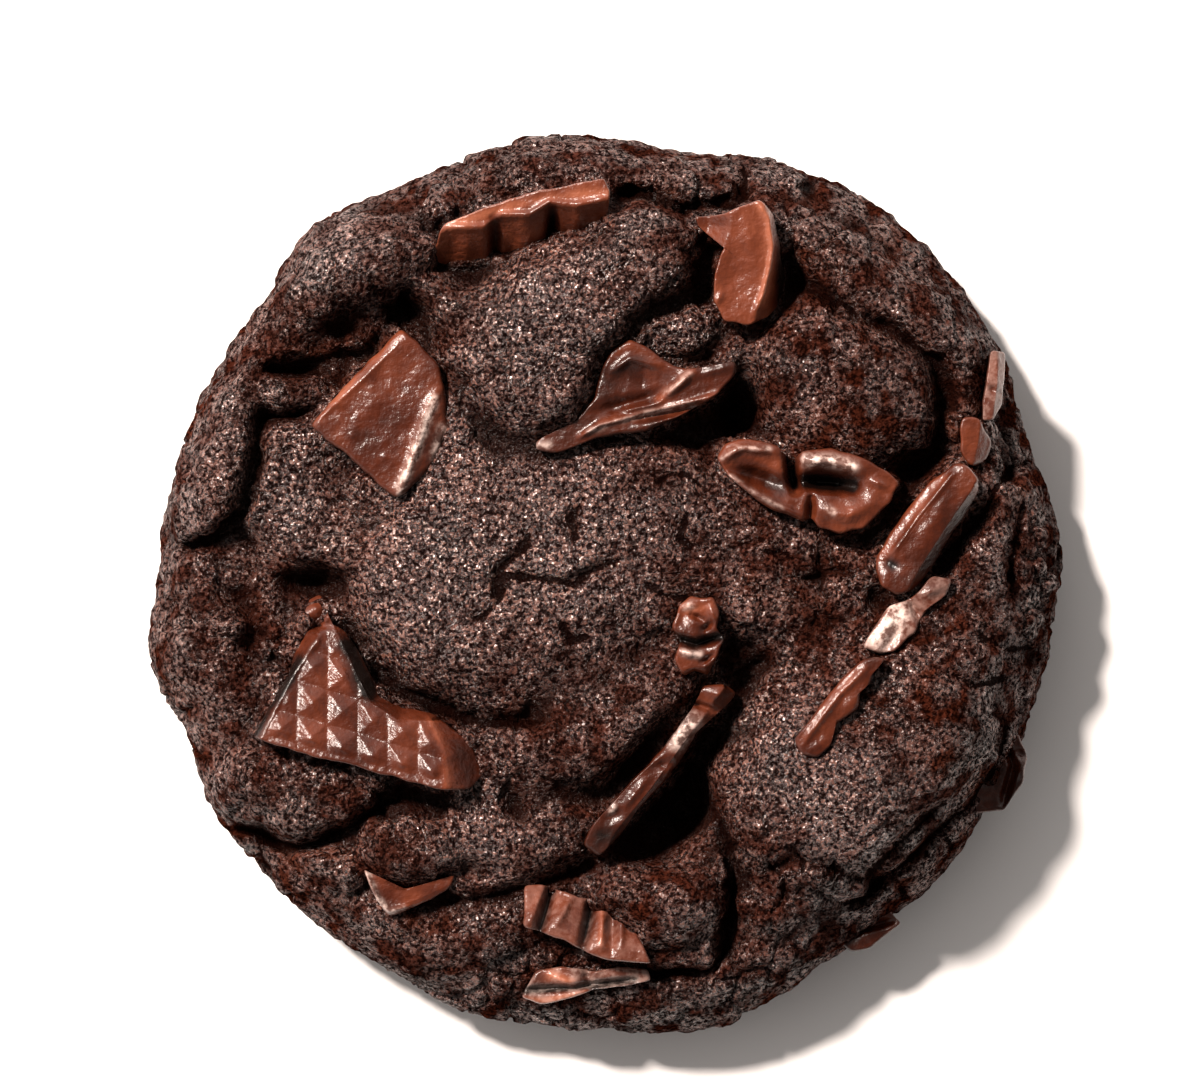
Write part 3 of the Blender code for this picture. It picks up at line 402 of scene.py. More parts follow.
        grooves=((0.5, 1.7, ((-5.2, -29.9), (-6.6, -34.6))), (0.5, 1.6, ((-1.2, -31.2), (-2.2, -36.0))),
                 (0.4, -0.4, ((-6.2, -30.4), (-7.5, -33.4))), (0.45, -0.5, ((-3.4, -31.2), (-4.8, -33.6))),
                 (0.35, -0.45, ((-0.2, -32.6), (-0.4, -35.8))), (0.35, -0.4, ((1.7, -33.0), (1.6, -35.8))),
                 (0.4, 0.5, ((0.7, -32.4), (0.6, -36.6)))),
        falls=((0.6, 2.0, ((-8.2, -33.0), (-4.6, -34.2), (0.0, -36.0), (4.0, -36.4))),),
        painted_shading=((-0.4, 0.5, ((-5.2, -29.9), (-6.6, -34.6))), (-0.4, 0.5, ((-1.2, -31.2), (-2.2, -36.0))),
               (0.3, 0.4, ((-0.3, -32.6), (-0.4, -35.4)))),
    ),
    "rim_wedge": dict(
        corners=((35.4, 16.8), (37.2, 16.7), (38.5, 14.2), (38.1, 12.5), (36.4, 11.8), (35.2, 13.4)),
        face=(15.8, -0.1, 0.0), thick=4.0, edge=0.3, tone=0.42,
        falls=((0.9, 2.0, ((37.4, 17.0), (37.0, 14.0), (36.4, 11.6))),),
    ),
    # a lump with a top painted lighter, with a painted highlight, over the crag beside the long streak
    "crag_chunk": dict(
        corners=((7.3, -1.9), (8.4, -1.0), (9.8, -1.4), (10.6, -1.2), (11.4, -2.6), (11.0, -4.2),
                 (11.7, -5.2), (11.2, -7.0), (10.2, -8.8), (8.8, -8.4), (7.8, -9.0), (6.8, -7.4),
                 (7.4, -5.6), (6.7, -4.2)),
        face=(18.9, 0.0, 0.05), thick=4.6, edge=0.35, tone=0.4, rounding=2, swell=3.6,
        grooves=((0.45, 1.5, ((6.8, -5.2), (9.0, -5.8), (11.6, -5.0))),
                 (0.35, 1.2, ((9.9, -4.3), (10.3, -3.9))), (0.3, 0.9, ((8.6, -2.9), (9.6, -3.4))),
                 (0.4, -0.5, ((7.6, -2.2), (8.8, -1.8))), (0.35, -0.5, ((10.4, -2.2), (10.8, -3.2))),
                 (0.4, -0.6, ((7.6, -6.6), (9.4, -6.9))), (0.3, 0.8, ((9.6, -7.6), (10.6, -7.0)))),
        falls=((1.0, 2.4, ((11.6, -6.4), (9.8, -8.0), (7.0, -8.4))),),
        painted_shading=((-0.5, 0.5, ((6.8, -5.2), (9.0, -5.8), (11.6, -5.0))),
               (0.25, 0.6, ((8.0, -2.4), (10.4, -2.0)))),
        painted_highlights=((0.5, 0.35, ((7.8, -6.6), (9.3, -6.8))), (0.5, 0.3, ((7.9, -2.2), (8.6, -1.9)))),
    ),
    # two chunks in the side of the cookie, under the shoulder
    "side_chunk": dict(
        corners=((39.4, -14.2), (41.6, -15.0), (42.4, -17.4), (41.8, -20.0), (40.0, -22.6), (37.2, -23.0),
                 (36.4, -18.4)),
        face=(9.0, 0.0, 0.0), thick=5.0, edge=0.3, tone=0.26, rounding=1, swell=4.0,
        grooves=((0.4, 1.2, ((39.8, -14.8), (41.0, -18.2), (40.0, -21.8))),
                 (0.5, 1.0, ((41.2, -16.6), (42.4, -17.2)))),
    ),
    "foot_chunk": dict(
        corners=((22.2, -35.0), (24.8, -36.8), (26.8, -36.4), (29.8, -34.0), (27.0, -31.0)),
        face=(8.0, 0.0, 0.0), thick=4.6, edge=0.3, tone=0.2, rounding=1, swell=4.0,
        grooves=((0.4, 1.2, ((23.4, -35.2), (28.8, -33.8))),),
    ),
    # the smooth pillow of a bar, with a bevel along its left side and one burst bubble
    "smooth_bar": dict(
        corners=((33.6, 11.2), (34.6, 12.0), (35.9, 11.7), (36.9, 10.4), (36.9, 9.2), (35.3, 6.4),
                 (33.0, 2.9), (31.4, 0.4), (30.3, -0.6), (28.9, -0.9), (27.4, 0.0), (26.7, 1.5),
                 (26.8, 2.8), (28.2, 5.1), (30.0, 7.6), (32.0, 10.1)),
        face=(18.9, 0.02, 0.02), thick=5.0, edge=0.35, tone=0.3, rounding=3, swell=1.4,
        falls=((0.55, 1.5, ((27.6, 1.0), (28.9, 3.3), (31.3, 6.6), (35.0, 11.6))),
               (1.6, 2.6, ((36.4, 9.7), (34.4, 6.8), (31.4, 2.2), (29.6, -1.0)))),
        grooves=((0.6, 0.9, ((28.2, 2.2), (28.5, 2.0))),
                 (0.28, -0.3, ((28.4, 3.2), (30.9, 6.8), (34.4, 11.2))),
                 (0.9, -0.2, ((30.6, 3.4), (33.8, 8.4)))),
        painted_shading=((-0.4, 0.5, ((28.2, 2.2), (28.5, 2.0))),
               (0.28, 0.6, ((27.6, 3.4), (29.8, 6.8), (33.2, 10.6))),
               (-0.2, 0.6, ((36.2, 8.6), (31.2, 0.8)))),
    ),
    # the long bar along the north roll: a lit strip of face over three scallops of steep ribbed wall
    "scalloped_bar": dict(
        corners=((-16.6, 34.2), (-15.8, 35.9), (-10.5, 37.9), (-5.5, 39.2), (-0.2, 40.2), (0.6, 39.0),
                 (0.2, 36.6), (-1.2, 35.0), (-4.6, 34.4), (-6.0, 32.8), (-9.8, 32.2), (-12.0, 32.3),
                 (-15.4, 31.8), (-17.4, 32.4)),
        face=(18.7, 0.08, 0.1), thick=5.6, edge=0.25, tone=0.56, rounding=2,
        falls=((1.25, 4.0, ((0.6, 38.0), (-3.0, 37.3), (-5.5, 37.6), (-7.5, 36.4), (-10.2, 36.4),
                            (-12.0, 35.2), (-15.5, 35.2), (-17.6, 34.6))),),
        grooves=((0.3, -0.35, ((0.2, 38.2), (-3.0, 37.6), (-5.5, 37.9), (-7.5, 36.7), (-10.2, 36.7),
                               (-12.0, 35.5), (-15.5, 35.5))), (0.6, 1.8, ((-10.9, 36.0), (-11.0, 31.8))),
                 (0.5, 1.8, ((-5.2, 37.0), (-5.3, 33.4))), (0.8, -0.5, ((-13.6, 34.8), (-13.8, 32.2))),
                 (0.9, -0.5, ((-8.0, 35.8), (-7.9, 32.4))), (0.8, -0.5, ((-2.6, 37.0), (-2.4, 35.0)))),
        painted_shading=((-0.5, 0.6, ((-10.9, 36.0), (-11.0, 32.0))), (-0.5, 0.5, ((-5.2, 37.0), (-5.3, 33.6))),
               (0.25, 0.5, ((0.2, 38.8), (-5.5, 38.4), (-10.2, 37.2), (-15.5, 35.7)))),
    ),
    # chocolate that ran: thin bits that slumped along the folds and set there, lumpy and glossy
    "edge_plate": dict(
        corners=((38.4, 23.4), (39.9, 23.2), (39.8, 20.6), (39.5, 18.0), (38.6, 16.4), (37.5, 16.2),
                 (37.6, 18.4), (38.0, 21.0)),
        face=(15.0, -0.1, -0.14), thick=5.4, edge=0.2, tone=0.44, painted_sheen=0.12, rounding=2,
        falls=((1.6, 2.0, ((39.1, 24.0), (39.0, 20.0), (38.4, 16.0))),),
        grooves=((0.4, 0.5, ((37.8, 19.6), (39.2, 19.2))),),
    ),
    "upper_drip": dict(
        corners=((32.3, 0.9), (34.4, 0.6), (33.7, -1.0), (31.6, -2.6), (30.8, -4.6), (28.9, -6.3),
                 (27.2, -6.9), (25.4, -6.2), (26.3, -4.6), (28.0, -2.1), (30.0, -1.5), (31.2, -0.4)),
        face=(18.7, -0.1, -0.06), thick=4.4, edge=0.35, tone=0.42, painted_sheen=0.1, rounding=4, swell=1.6,
        grooves=((0.45, 0.9, ((30.0, -1.2), (31.4, -3.6))), (0.5, -0.4, ((31.4, -1.0), (33.6, 0.0))),
                 (0.6, -0.3, ((28.6, -2.6), (26.8, -5.4))), (0.5, 0.5, ((27.4, -6.9), (28.9, -4.6)))),
        painted_highlights=((1.1, 1.15, ((28.9, -2.9), (27.2, -5.2))),),
    ),
    "lower_drip": dict(
        corners=((25.3, -7.3), (26.9, -6.9), (27.7, -7.2), (26.3, -8.7), (26.1, -9.7), (25.0, -10.6),
                 (25.1, -11.9), (23.6, -13.0), (22.5, -13.8), (22.3, -15.7), (20.9, -17.1), (19.3, -16.6),
                 (18.6, -15.2), (19.5, -14.1), (20.6, -12.7), (21.5, -11.4), (23.1, -9.5)),
        face=(21.0, -0.02, 0.03), thick=4.8, edge=0.45, tone=0.34, rounding=4, swell=1.5,
        grooves=((0.4, -0.35, ((25.6, -8.2), (23.0, -10.8), (20.8, -13.8), (19.5, -15.6))),
                 (0.6, -0.5, ((24.2, -11.2), (24.0, -11.6))), (0.6, -0.4, ((21.4, -15.4), (20.4, -16.0)))),
        painted_shading=((0.2, 0.5, ((25.4, -8.0), (23.0, -10.4), (20.8, -13.2), (19.3, -15.4))),),
    ),
    "long_streak": dict(
        corners=((9.2, -11.4), (9.7, -9.9), (11.9, -9.7), (13.0, -10.8), (12.2, -11.8), (10.8, -12.4),
                 (9.2, -14.4), (7.6, -17.1), (5.7, -19.8), (3.2, -22.3), (1.6, -24.7), (-0.6, -26.9),
                 (-2.2, -25.8), (-1.4, -23.9), (0.8, -21.5), (3.5, -18.5), (5.7, -16.3), (7.8, -13.3)),
        face=(17.6, 0.05, 0.08), thick=6.0, edge=0.5, tone=0.34, rounding=4, swell=1.7,
        grooves=((0.35, 0.8, ((8.6, -11.6), (10.9, -12.4))), (0.5, -0.5, ((10.4, -10.6), (12.0, -10.9))),
                 (0.5, 0.7, ((5.0, -18.0), (6.4, -17.6))), (0.6, -0.3, ((8.4, -13.8), (6.4, -16.2))),
                 (0.4, -0.5, ((0.9, -22.0), (0.7, -22.4))), (0.4, -0.3, ((4.0, -19.4), (2.0, -21.8))),
                 (0.5, 0.5, ((1.4, -22.6), (0.2, -23.2)))),
        falls=((1.0, 3.0, ((10.6, -11.8), (7.6, -15.8), (4.6, -20.0), (1.0, -24.4), (-0.6, -27.6))),),
        painted_shading=((-0.25, 1.6, ((0.0, -25.0), (-1.6, -26.6))),),
        painted_highlights=((0.9, 0.7, ((8.7, -13.4), (7.1, -15.5))), (0.6, 0.3, ((0.8, -21.9), (0.6, -22.4)))),
    ),
    "crescent_chunk": dict(
        corners=((-24.0, -28.2), (-23.2, -28.7), (-21.4, -30.3), (-19.0, -30.0), (-16.6, -29.3),
                 (-15.0, -28.8), (-15.5, -30.1), (-17.4, -31.4), (-19.6, -32.4), (-21.6, -32.8),
                 (-22.8, -31.4)),
        face=(14.8, 0.0, 0.06), thick=4.4, edge=0.25, tone=0.42, rounding=3,
        grooves=((0.28, -0.5, ((-23.8, -28.6), (-22.6, -31.2), (-21.4, -32.4), (-19.6, -32.0))),),
        falls=((0.5, 1.0, ((-15.4, -29.8), (-18.6, -31.2), (-21.4, -32.2))),),
        painted_highlights=((0.6, 0.3, ((-23.6, -28.6), (-22.5, -31.2), (-21.4, -32.4), (-20.2, -32.2))),),
    ),
    "rim_streak": dict(
        corners=((-7.9, -40.2), (-6.8, -38.5), (-4.4, -38.0), (-1.2, -38.5), (1.5, -38.0), (4.2, -38.3),
                 (4.6, -39.4), (2.0, -40.0), (-1.0, -40.3), (-3.6, -41.3), (-6.4, -41.9), (-8.4, -41.2)),
        face=(12.9, 0.04, 0.12), thick=4.0, edge=0.4, tone=0.4, painted_sheen=0.15, rounding=3, swell=1.7,
        grooves=((0.45, -0.5, ((-5.6, -38.8), (-3.2, -39.8))),
                 (0.35, 0.9, ((-8.0, -40.4), (-3.6, -40.2), (3.0, -39.3))),
                 (0.5, 0.8, ((-1.8, -38.2), (-1.6, -39.8)))),
        painted_shading=((0.5, 0.6, ((-5.4, -38.9), (-3.4, -39.6))),
               (-0.5, 0.4, ((-8.0, -40.4), (-3.6, -40.3), (3.0, -39.4))),
               (0.5, 0.4, ((-8.0, -41.4), (-6.2, -41.4), (-2.0, -40.6)))),
    ),
}
for name, chunk in CHUNKS.items():
    piece = broken_slab(name + "_chocolate", chunk)
    piece.data.materials.append(chocolate)
    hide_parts(name)
    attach(piece, "root")

# The dough. Cocoa dough with brown sugar, scooped in rough balls that were pressed together and baked till
# they slumped into thick folds. Its crust dried, cracked into plates and kept a grain of sugar, over butter
# that leaves a sheen. The numbers are millimetres from the middle of the underside.
RIM_RADII = (
    45.9, 46.0, 44.9, 46.2, 46.8, 47.1, 46.8, 45.5, 44.3, 45.0, 45.5, 45.0,
    45.5, 46.4, 44.8, 44.7, 44.7, 45.0, 45.1, 46.6, 44.8, 45.7, 45.1, 44.7,
    44.6, 45.0, 44.8, 44.7, 46.0, 45.6, 44.2, 44.4, 45.0, 44.4, 44.9, 45.1,
)  # middle to edge, every 10 degrees anticlockwise from +X
RIM_HEIGHT = 4.6  # height of the widest line
SHOULDER = 8.0  # width of the band that rounds over to the rim
SETBACK = 2.0  # how far the flat underside lies inside the widest line
FLAT_SHARE = 0.68  # share of the way from the middle to the rim that is above the shoulder
ROUNDNESS = 0.9  # 1 is an elliptic shoulder, less is squarer
FLOOR_HEIGHT, FLOOR_FALL = 14.9, 3.2  # dough between the folds at the middle, and its drop to the rim
# Folds of dough: rolls along a spine of (x, y, half width, crown height)
FOLDS = (
    ((-30.5, 34.0, 3.2, 12.4), (-24.5, 37.6, 3.6, 14.2), (-16.5, 40.2, 3.8, 15.6), (-8.5, 41.8, 4.0, 16.4),
     (-0.5, 42.2, 4.4, 16.6), (7.0, 41.0, 4.0, 16.0)),
    ((10.5, 41.0, 4.0, 15.2), (17.0, 40.5, 4.0, 14.8)),
    ((-36.0, 24.5, 4.2, 15.8), (-30.5, 29.6, 4.9, 18.2), (-25.5, 32.4, 5.0, 19.0),
     (-20.0, 33.6, 4.4, 18.2)),
    ((-36.2, 21.4, 3.4, 15.4), (-39.2, 15.5, 4.2, 17.4), (-40.2, 10.5, 4.4, 17.6), (-40.0, 8.0, 4.0, 16.8)),
    ((-32.2, 19.0, 3.0, 15.4), (-29.6, 19.4, 2.6, 15.0)),
    ((-31.5, 12.5, 5.4, 15.2), (-29.5, 6.5, 6.0, 15.8)),
    ((-22.0, 9.0, 6.0, 15.6), (-23.5, 4.0, 6.0, 16.6)),
    ((-41.0, 2.6, 3.6, 14.2), (-40.6, -3.0, 5.2, 14.6), (-40.2, -8.6, 5.6, 14.8),
     (-38.4, -14.0, 4.6, 14.4)),
    ((-39.6, -1.2, 2.6, 15.6), (-37.4, -3.6, 2.4, 15.4)),
    ((-17.0, 0.5, 9.6, 18.4), (-12.5, -2.6, 11.4, 19.2), (-6.0, -1.8, 11.4, 18.8), (0.0, 2.0, 11.0, 18.0)),
    ((-11.0, 7.4, 9.6, 17.6), (-2.0, 7.6, 10.4, 17.8), (6.0, 4.6, 10.4, 17.8), (13.0, 4.0, 8.6, 17.4)),
    ((13.0, 5.0, 7.6, 17.2), (18.5, 2.6, 6.8, 17.2), (23.0, 2.0, 4.8, 16.4)),
    ((14.6, -2.4, 4.2, 18.2), (18.4, -1.2, 4.0, 17.4)),
    ((-6.6, 23.6, 9.0, 21.2), (-2.0, 28.8, 8.4, 21.4), (4.4, 33.0, 6.2, 20.4)),
    ((-13.6, 22.0, 3.4, 17.4), (-14.0, 28.0, 3.2, 18.4)),
    ((-17.4, 30.2, 1.9, 17.0), (-15.4, 30.0, 1.8, 16.6)),
    ((4.8, 25.2, 3.3, 17.6), (8.8, 26.4, 3.6, 18.2)),
    ((13.0, 23.6, 2.6, 17.0), (15.0, 24.2, 2.2, 16.6)),
    ((21.5, 21.0, 8.6, 19.6), (24.8, 18.4, 8.6, 19.4)),
    ((27.0, 12.6, 4.2, 16.2), (19.0, 13.6, 4.0, 17.0)),
    ((18.8, 35.0, 4.6, 16.6), (24.5, 31.2, 5.0, 17.2), (30.5, 26.4, 5.0, 17.0), (35.2, 20.8, 4.2, 16.4)),
    ((21.5, 38.6, 4.4, 12.8), (28.0, 34.8, 5.0, 12.6), (34.0, 29.6, 5.0, 12.2), (37.6, 24.4, 4.0, 11.6)),
    ((35.5, 16.5, 3.2, 15.2), (37.0, 12.5, 3.2, 14.8)),
    ((38.2, 8.6, 3.0, 16.2), (37.8, 3.0, 3.4, 16.6), (36.6, -2.0, 3.8, 16.8)),
    ((42.0, 9.4, 3.4, 14.0), (42.4, 3.0, 3.6, 14.4), (41.4, -3.4, 3.6, 14.8)),
    ((33.5, -6.0, 7.4, 18.4), (29.5, -12.5, 9.4, 20.2), (24.0, -18.5, 10.0, 20.6),
     (20.0, -22.5, 8.4, 19.4)),
    ((15.4, -13.8, 3.4, 16.6), (19.6, -9.4, 3.8, 16.8), (24.0, -6.4, 3.6, 16.4)),
    ((13.6, -18.4, 3.6, 16.8), (15.0, -23.0, 4.0, 17.4)),
    ((39.0, -8.0, 4.4, 14.6), (37.0, -16.0, 5.0, 14.8), (31.5, -24.0, 5.0, 14.2), (25.0, -30.0, 5.0, 13.6)),
    ((17.0, -31.0, 4.6, 15.2), (23.0, -29.4, 4.4, 14.8)),
    ((16.6, -36.6, 4.0, 13.0), (22.5, -34.6, 3.6, 12.0)),
    ((2.2, -31.0, 4.8, 17.0), (7.2, -31.4, 5.0, 17.2)),
    ((3.0, -36.0, 3.4, 13.6), (9.0, -36.2, 3.6, 14.0)),
    ((4.0, -41.6, 3.6, 11.4), (9.6, -41.6, 3.6, 11.6), (15.0, -39.8, 3.4, 11.6)),
    ((-31.0, -29.4, 4.0, 13.6), (-25.5, -33.0, 4.4, 13.8), (-18.5, -35.6, 4.6, 13.8),
     (-10.5, -35.2, 4.4, 13.8), (-6.0, -37.4, 3.6, 12.6)),
    ((-13.0, -15.8, 3.4, 16.6), (-6.0, -15.0, 3.4, 16.8)),
    ((-4.0, -12.6, 3.0, 17.0), (2.0, -9.6, 3.4, 17.2), (7.0, -7.6, 3.2, 17.0)),
    ((-22.6, -11.4, 2.2, 16.0), (-16.5, -13.6, 2.4, 16.6), (-9.0, -14.6, 2.6, 16.8)),
    ((33.2, 24.0, 2.6, 15.8), (34.6, 18.6, 2.2, 15.2), (33.8, 14.0, 2.0, 14.9)),
    ((40.2, 9.0, 2.4, 15.2), (40.4, 3.0, 2.4, 15.6), (39.2, -3.0, 2.4, 15.8)),
    ((27.6, 13.4, 3.0, 16.2), (31.6, 14.4, 2.4, 15.4)),
    ((-34.4, 14.0, 2.4, 15.6), (-35.4, 8.0, 2.4, 15.4)),
    ((-33.4, 23.6, 2.6, 15.4), (-27.0, 25.6, 2.8, 15.8), (-21.4, 27.6, 2.6, 15.8)),
    ((11.6, -27.0, 2.4, 14.6), (12.4, -35.0, 2.4, 13.0)),
    ((-13.4, -29.6, 2.4, 14.8), (-5.0, -27.6, 2.4, 15.0)),
    ((-15.2, 18.0, 3.4, 17.0), (-14.6, 13.0, 4.6, 17.2), (-17.6, 7.6, 4.4, 17.0)),
    ((-30.8, -5.0, 3.2, 14.8), (-34.6, -12.0, 3.0, 14.8)),
    ((8.0, 10.8, 3.6, 16.8), (3.0, 13.4, 3.4, 16.9), (-3.0, 12.6, 3.4, 17.2)),
    ((19.0, -5.6, 4.6, 17.6), (24.4, -2.4, 3.6, 17.2), (28.8, 2.6, 3.0, 16.4)),
    ((-36.6, -19.4, 4.6, 15.6), (-30.5, -20.8, 4.9, 16.8), (-24.0, -20.0, 4.0, 16.6)),
    ((-20.8, -25.2, 4.2, 17.2), (-17.4, -26.0, 4.4, 17.2)),
    ((-28.4, -26.8, 2.8, 15.0), (-26.0, -27.6, 2.6, 14.8)),
    ((-12.0, -23.2, 4.4, 16.8), (-6.5, -24.4, 4.5, 16.8), (-2.4, -24.0, 4.0, 16.2)),
    ((-9.0, -18.0, 4.2, 17.2), (-1.5, -15.6, 5.0, 18.2), (4.6, -11.2, 4.6, 18.0)),
)
# How far a fold has dropped at its half width, with the square and with the sixth power, and how soft the
# change from one fold to the next is
FOLD_CROWN_DROP, FOLD_WALL_DROP, FOLD_BLEND = 1.8, 3.2, 0.6
# Creases and pits between folds: (half width, depth, path of (x, y))
CREASES = (
    (1, 1.8, ((-29.8, 22.8), (-25.5, 26.0), (-20.5, 27.6), (-17.8, 29.0))),
    (0.6, 2.1, ((-33.6, 21.6), (-28.6, 21.4))),
    (0.6, 2.1, ((-34.6, 16.4), (-30.2, 16.7))),
    (0.55, 2.8, ((-34.9, 16.0), (-35.2, 11.5), (-36.2, 7.4), (-38.8, 5.0), (-42.0, 4.4))),
    (1, 4.5, ((-31.6, 0.8), (-29.5, 0.6), (-27.4, 0.2))),
    (0.8, 2.1, ((-31.4, -1.0), (-31.6, -5.5), (-34.0, -9.5), (-35.4, -14.0))),
    (0.6, 2.8, ((-26.0, -3.5), (-24.4, -7.5), (-21.0, -11.2), (-16.5, -13.2), (-10.5, -14.3),
                (-6.2, -13.8))),
    (1.3, 4.5, ((13.8, 20.8), (14.0, 17.6), (12.6, 15.4))),
    (1.1, 3.2, ((14.8, 25.6), (17.2, 28.4), (18.2, 31.6))),
    (0.6, 2.7, ((0.4, 39.0), (3.6, 38.8), (9.4, 37.6), (13.4, 38.2))),
    (0.9, 2.7, ((8.4, 29.6), (4.4, 27.8), (1.6, 24.4), (-0.2, 19.0))),
    (2.1, 7, ((3.2, -25.4), (6.8, -22.4), (9.2, -19.2), (10.6, -15.8))),
    (1.2, 1.2, ((12.6, -11.6), (17.0, -7.6), (21.0, -4.8), (26.0, -2.0))),
    (0.9, 2.4, ((-0.5, -20.4), (4.0, -16.6), (7.6, -11.4))),
    (0.5, 2.4, ((11.0, -22.8), (12.3, -27.5), (12.5, -31.5), (12.2, -36.5), (9.8, -38.6), (4.0, -39.0))),
    (1.2, 4, ((24.4, 4.6), (28.2, 6.6), (31.2, 10.6), (32.6, 13.2))),
    (1.1, 2.8, ((26.4, -0.6), (28.0, -2.2))),
    (0.5, 2.4, ((32.8, 0.6), (35.6, 5.4), (38.0, 9.4), (40.0, 11.6))),
    (0.6, 3, ((-37.4, -24.0), (-34.0, -25.3), (-28.5, -24.7), (-24.0, -22.4), (-20.4, -21.2))),
    (0.6, 2.1, ((-15.0, -31.0), (-10.5, -30.2), (-6.0, -29.2), (-2.0, -27.2))),
    (0.7, 3.3, ((-8.6, -21.4), (-7.8, -22.4))),
    (0.6, 2.4, ((-35.4, -25.6), (-34.6, -27.6), (-36.0, -30.0))),
    (0.6, 2.1, ((19.5, 29.0), (24.5, 28.4), (29.4, 25.8), (32.2, 22.0), (32.9, 17.5), (32.4, 13.6))),
    (0.6, 2.4, ((16.0, -28.4), (22.0, -27.6), (27.0, -28.2), (29.4, -25.6), (33.0, -22.6))),
    (0.6, 2.4, ((24.4, -32.0), (27.0, -30.8), (28.6, -28.0))),
    (0.5, 1.8, ((41.2, 8.4), (41.0, 4.0), (41.4, 0.4))),
    (0.8, 2.7, ((42.2, -4.4), (43.2, -6.4))),
    (0.6, 2.4, ((13.2, 42.6), (13.8, 40.6), (13.6, 38.6))),
    (0.7, 2.7, ((20.6, 42.0), (20.4, 39.0))),
    (0.5, 2.0, ((27.2, -29.0), (31.5, -26.8), (35.8, -22.6), (38.6, -17.8), (40.4, -13.5))),
    (0.4, 1.8, ((33.2, -25.4), (34.6, -27.6))),
    (0.4, 1.8, ((29.6, -28.4), (30.4, -31.0))),
    (0.4, 1.6, ((36.8, -21.2), (39.4, -22.4))),
    # cracks in the crust
    (0.36, 1.2, ((-7.9, 6.0), (-8.6, 4.4), (-9.8, 3.2), (-11.0, 2.0), (-11.2, 0.2), (-10.6, -1.6),
                 (-12.0, -3.0), (-13.8, -3.8))),
    (0.32, 1.1, ((-10.4, 1.0), (-7.6, 0.8), (-5.0, 1.0), (-3.2, 0.8), (-1.8, 2.2), (0.2, 3.0), (0.8, 2.8))),
    (0.32, 0.89, ((4.4, 9.8), (6.2, 10.4), (8.0, 10.4), (9.6, 9.2))),
    (0.32, 0.89, ((7.6, 6.4), (7.2, 4.4), (8.6, 3.4))),
    (0.32, 0.89, ((4.8, 0.2), (6.6, -1.2), (8.4, -1.6))),
    (0.28, 0.81, ((16.2, 3.4), (17.6, 3.0), (19.0, 2.4))),
    (0.32, 0.89, ((-3.4, 8.8), (-4.6, 7.0), (-3.8, 5.4))),
    (0.32, 0.89, ((-5.0, -3.4), (-3.0, -5.6), (-1.2, -4.8))),
    (0.28, 0.73, ((34.4, -7.6), (37.4, -9.0), (40.0, -8.2))),
    (0.28, 0.73, ((38.0, -4.0), (40.4, -5.4), (42.6, -5.0))),
)
# Creases and cracks narrower than these are painted with dark lines of shade.
THIN_CREASE, FINE_CRACK = 0.65, 0.4  # half widths below which a crease shows as a dark line, or as a crack
LINE_REACH = 1.2  # how far the darkness of such a line can reach
WOBBLES = ((9.0, 1.1), (3.2, 0.45))  # cell size and reach of the wobble in the folds' lines
CELLS = 286  # cells along a side of the grid that is folded onto the disc
UNDERCUT_ROWS, BASE_RINGS = 7, 4  # rows from the widest line to the underside, rings across that
SWELLS = ((4.2, 0.24), (2.1, 0.13))  # cell size and height of the crust's soft unevenness
WRINKLES = ((1.7, 0.34), (0.9, 0.24))  # the same of its wrinkles, rounded lumps between sharp little creases
# Buttery patches get a thicker coat and, with it, paler flakes in the colour: partly sugar, partly a painted
# sheen.
BUTTER_AND_PAINTED_SHEEN = (
    (-16.0, 3.5, 10.0), (-4.0, 5.0, 9.0), (-5.0, 27.0, 8.0), (7.0, 26.0, 3.5), (-34.5, 10.0, 6.0),
    (-28.5, 34.0, 5.0), (17.5, -16.5, 5.0), (22.5, -20.5, 5.0), (-22.0, -6.0, 4.0), (-12.5, -24.0, 4.5),
    (-18.0, 14.0, 5.0),
)  # x, y and reach of patches where more butter came to the surface
SMOOTH_MOUNDS = ((24.0, 19.0, 8.0), (27.0, -15.0, 9.0), (33.0, -8.0, 6.0), (5.0, -31.5, 5.0))  # x, y, reach
PLATE_SIZE, PLATE_STEP = 4.4, 0.24  # size of the crust's plates and the step between them
PLATE_BEND = (2.2, 0.55)  # cell size and reach of the noise that bends the plates' borders
PLATE_CRACK = (0.30, 0.75)  # width and depth of the cracks between plates


def plates(points, cell, seed):
    """Cells round jittered lattice points: how far in from the border a point is, and a level each."""
    base = np.floor(points / cell).astype(np.int64)
    nearest, second, level = np.full(points.shape[:-1], np.inf), np.full(points.shape[:-1], np.inf), 0
    for offset in itertools.product((-1, 0, 1), repeat=points.shape[-1]):
        site = base + offset
        jitter = np.stack([random_of(site, seed + k) for k in range(points.shape[-1])], axis=-1)
        distance = np.linalg.norm(points - (site + 0.5 + 0.42 * jitter) * cell, axis=-1)
        closer = distance < nearest
        second = np.where(closer, nearest, np.minimum(second, distance))
        level = np.where(closer, random_of(site, seed + 7), level)
        nearest = np.where(closer, distance, nearest)
    return second - nearest, level


def rim_radius(angle):
    """Distance to the edge at an angle: a smooth closed cubic through RIM_RADII."""
    count = len(RIM_RADII)
    place = np.mod(angle / (2 * np.pi) * count, count)
    first = np.floor(place).astype(int)
    t = place - first
    before, start, end, after = (np.take(RIM_RADII, (first + k) % count) for k in (-1, 0, 1, 2))
    bend = 2 * before - 5 * start + 4 * end - after
    twist = 3 * (start - end) + after - before
    return start + 0.5 * t * (end - before + t * (bend + t * twist))


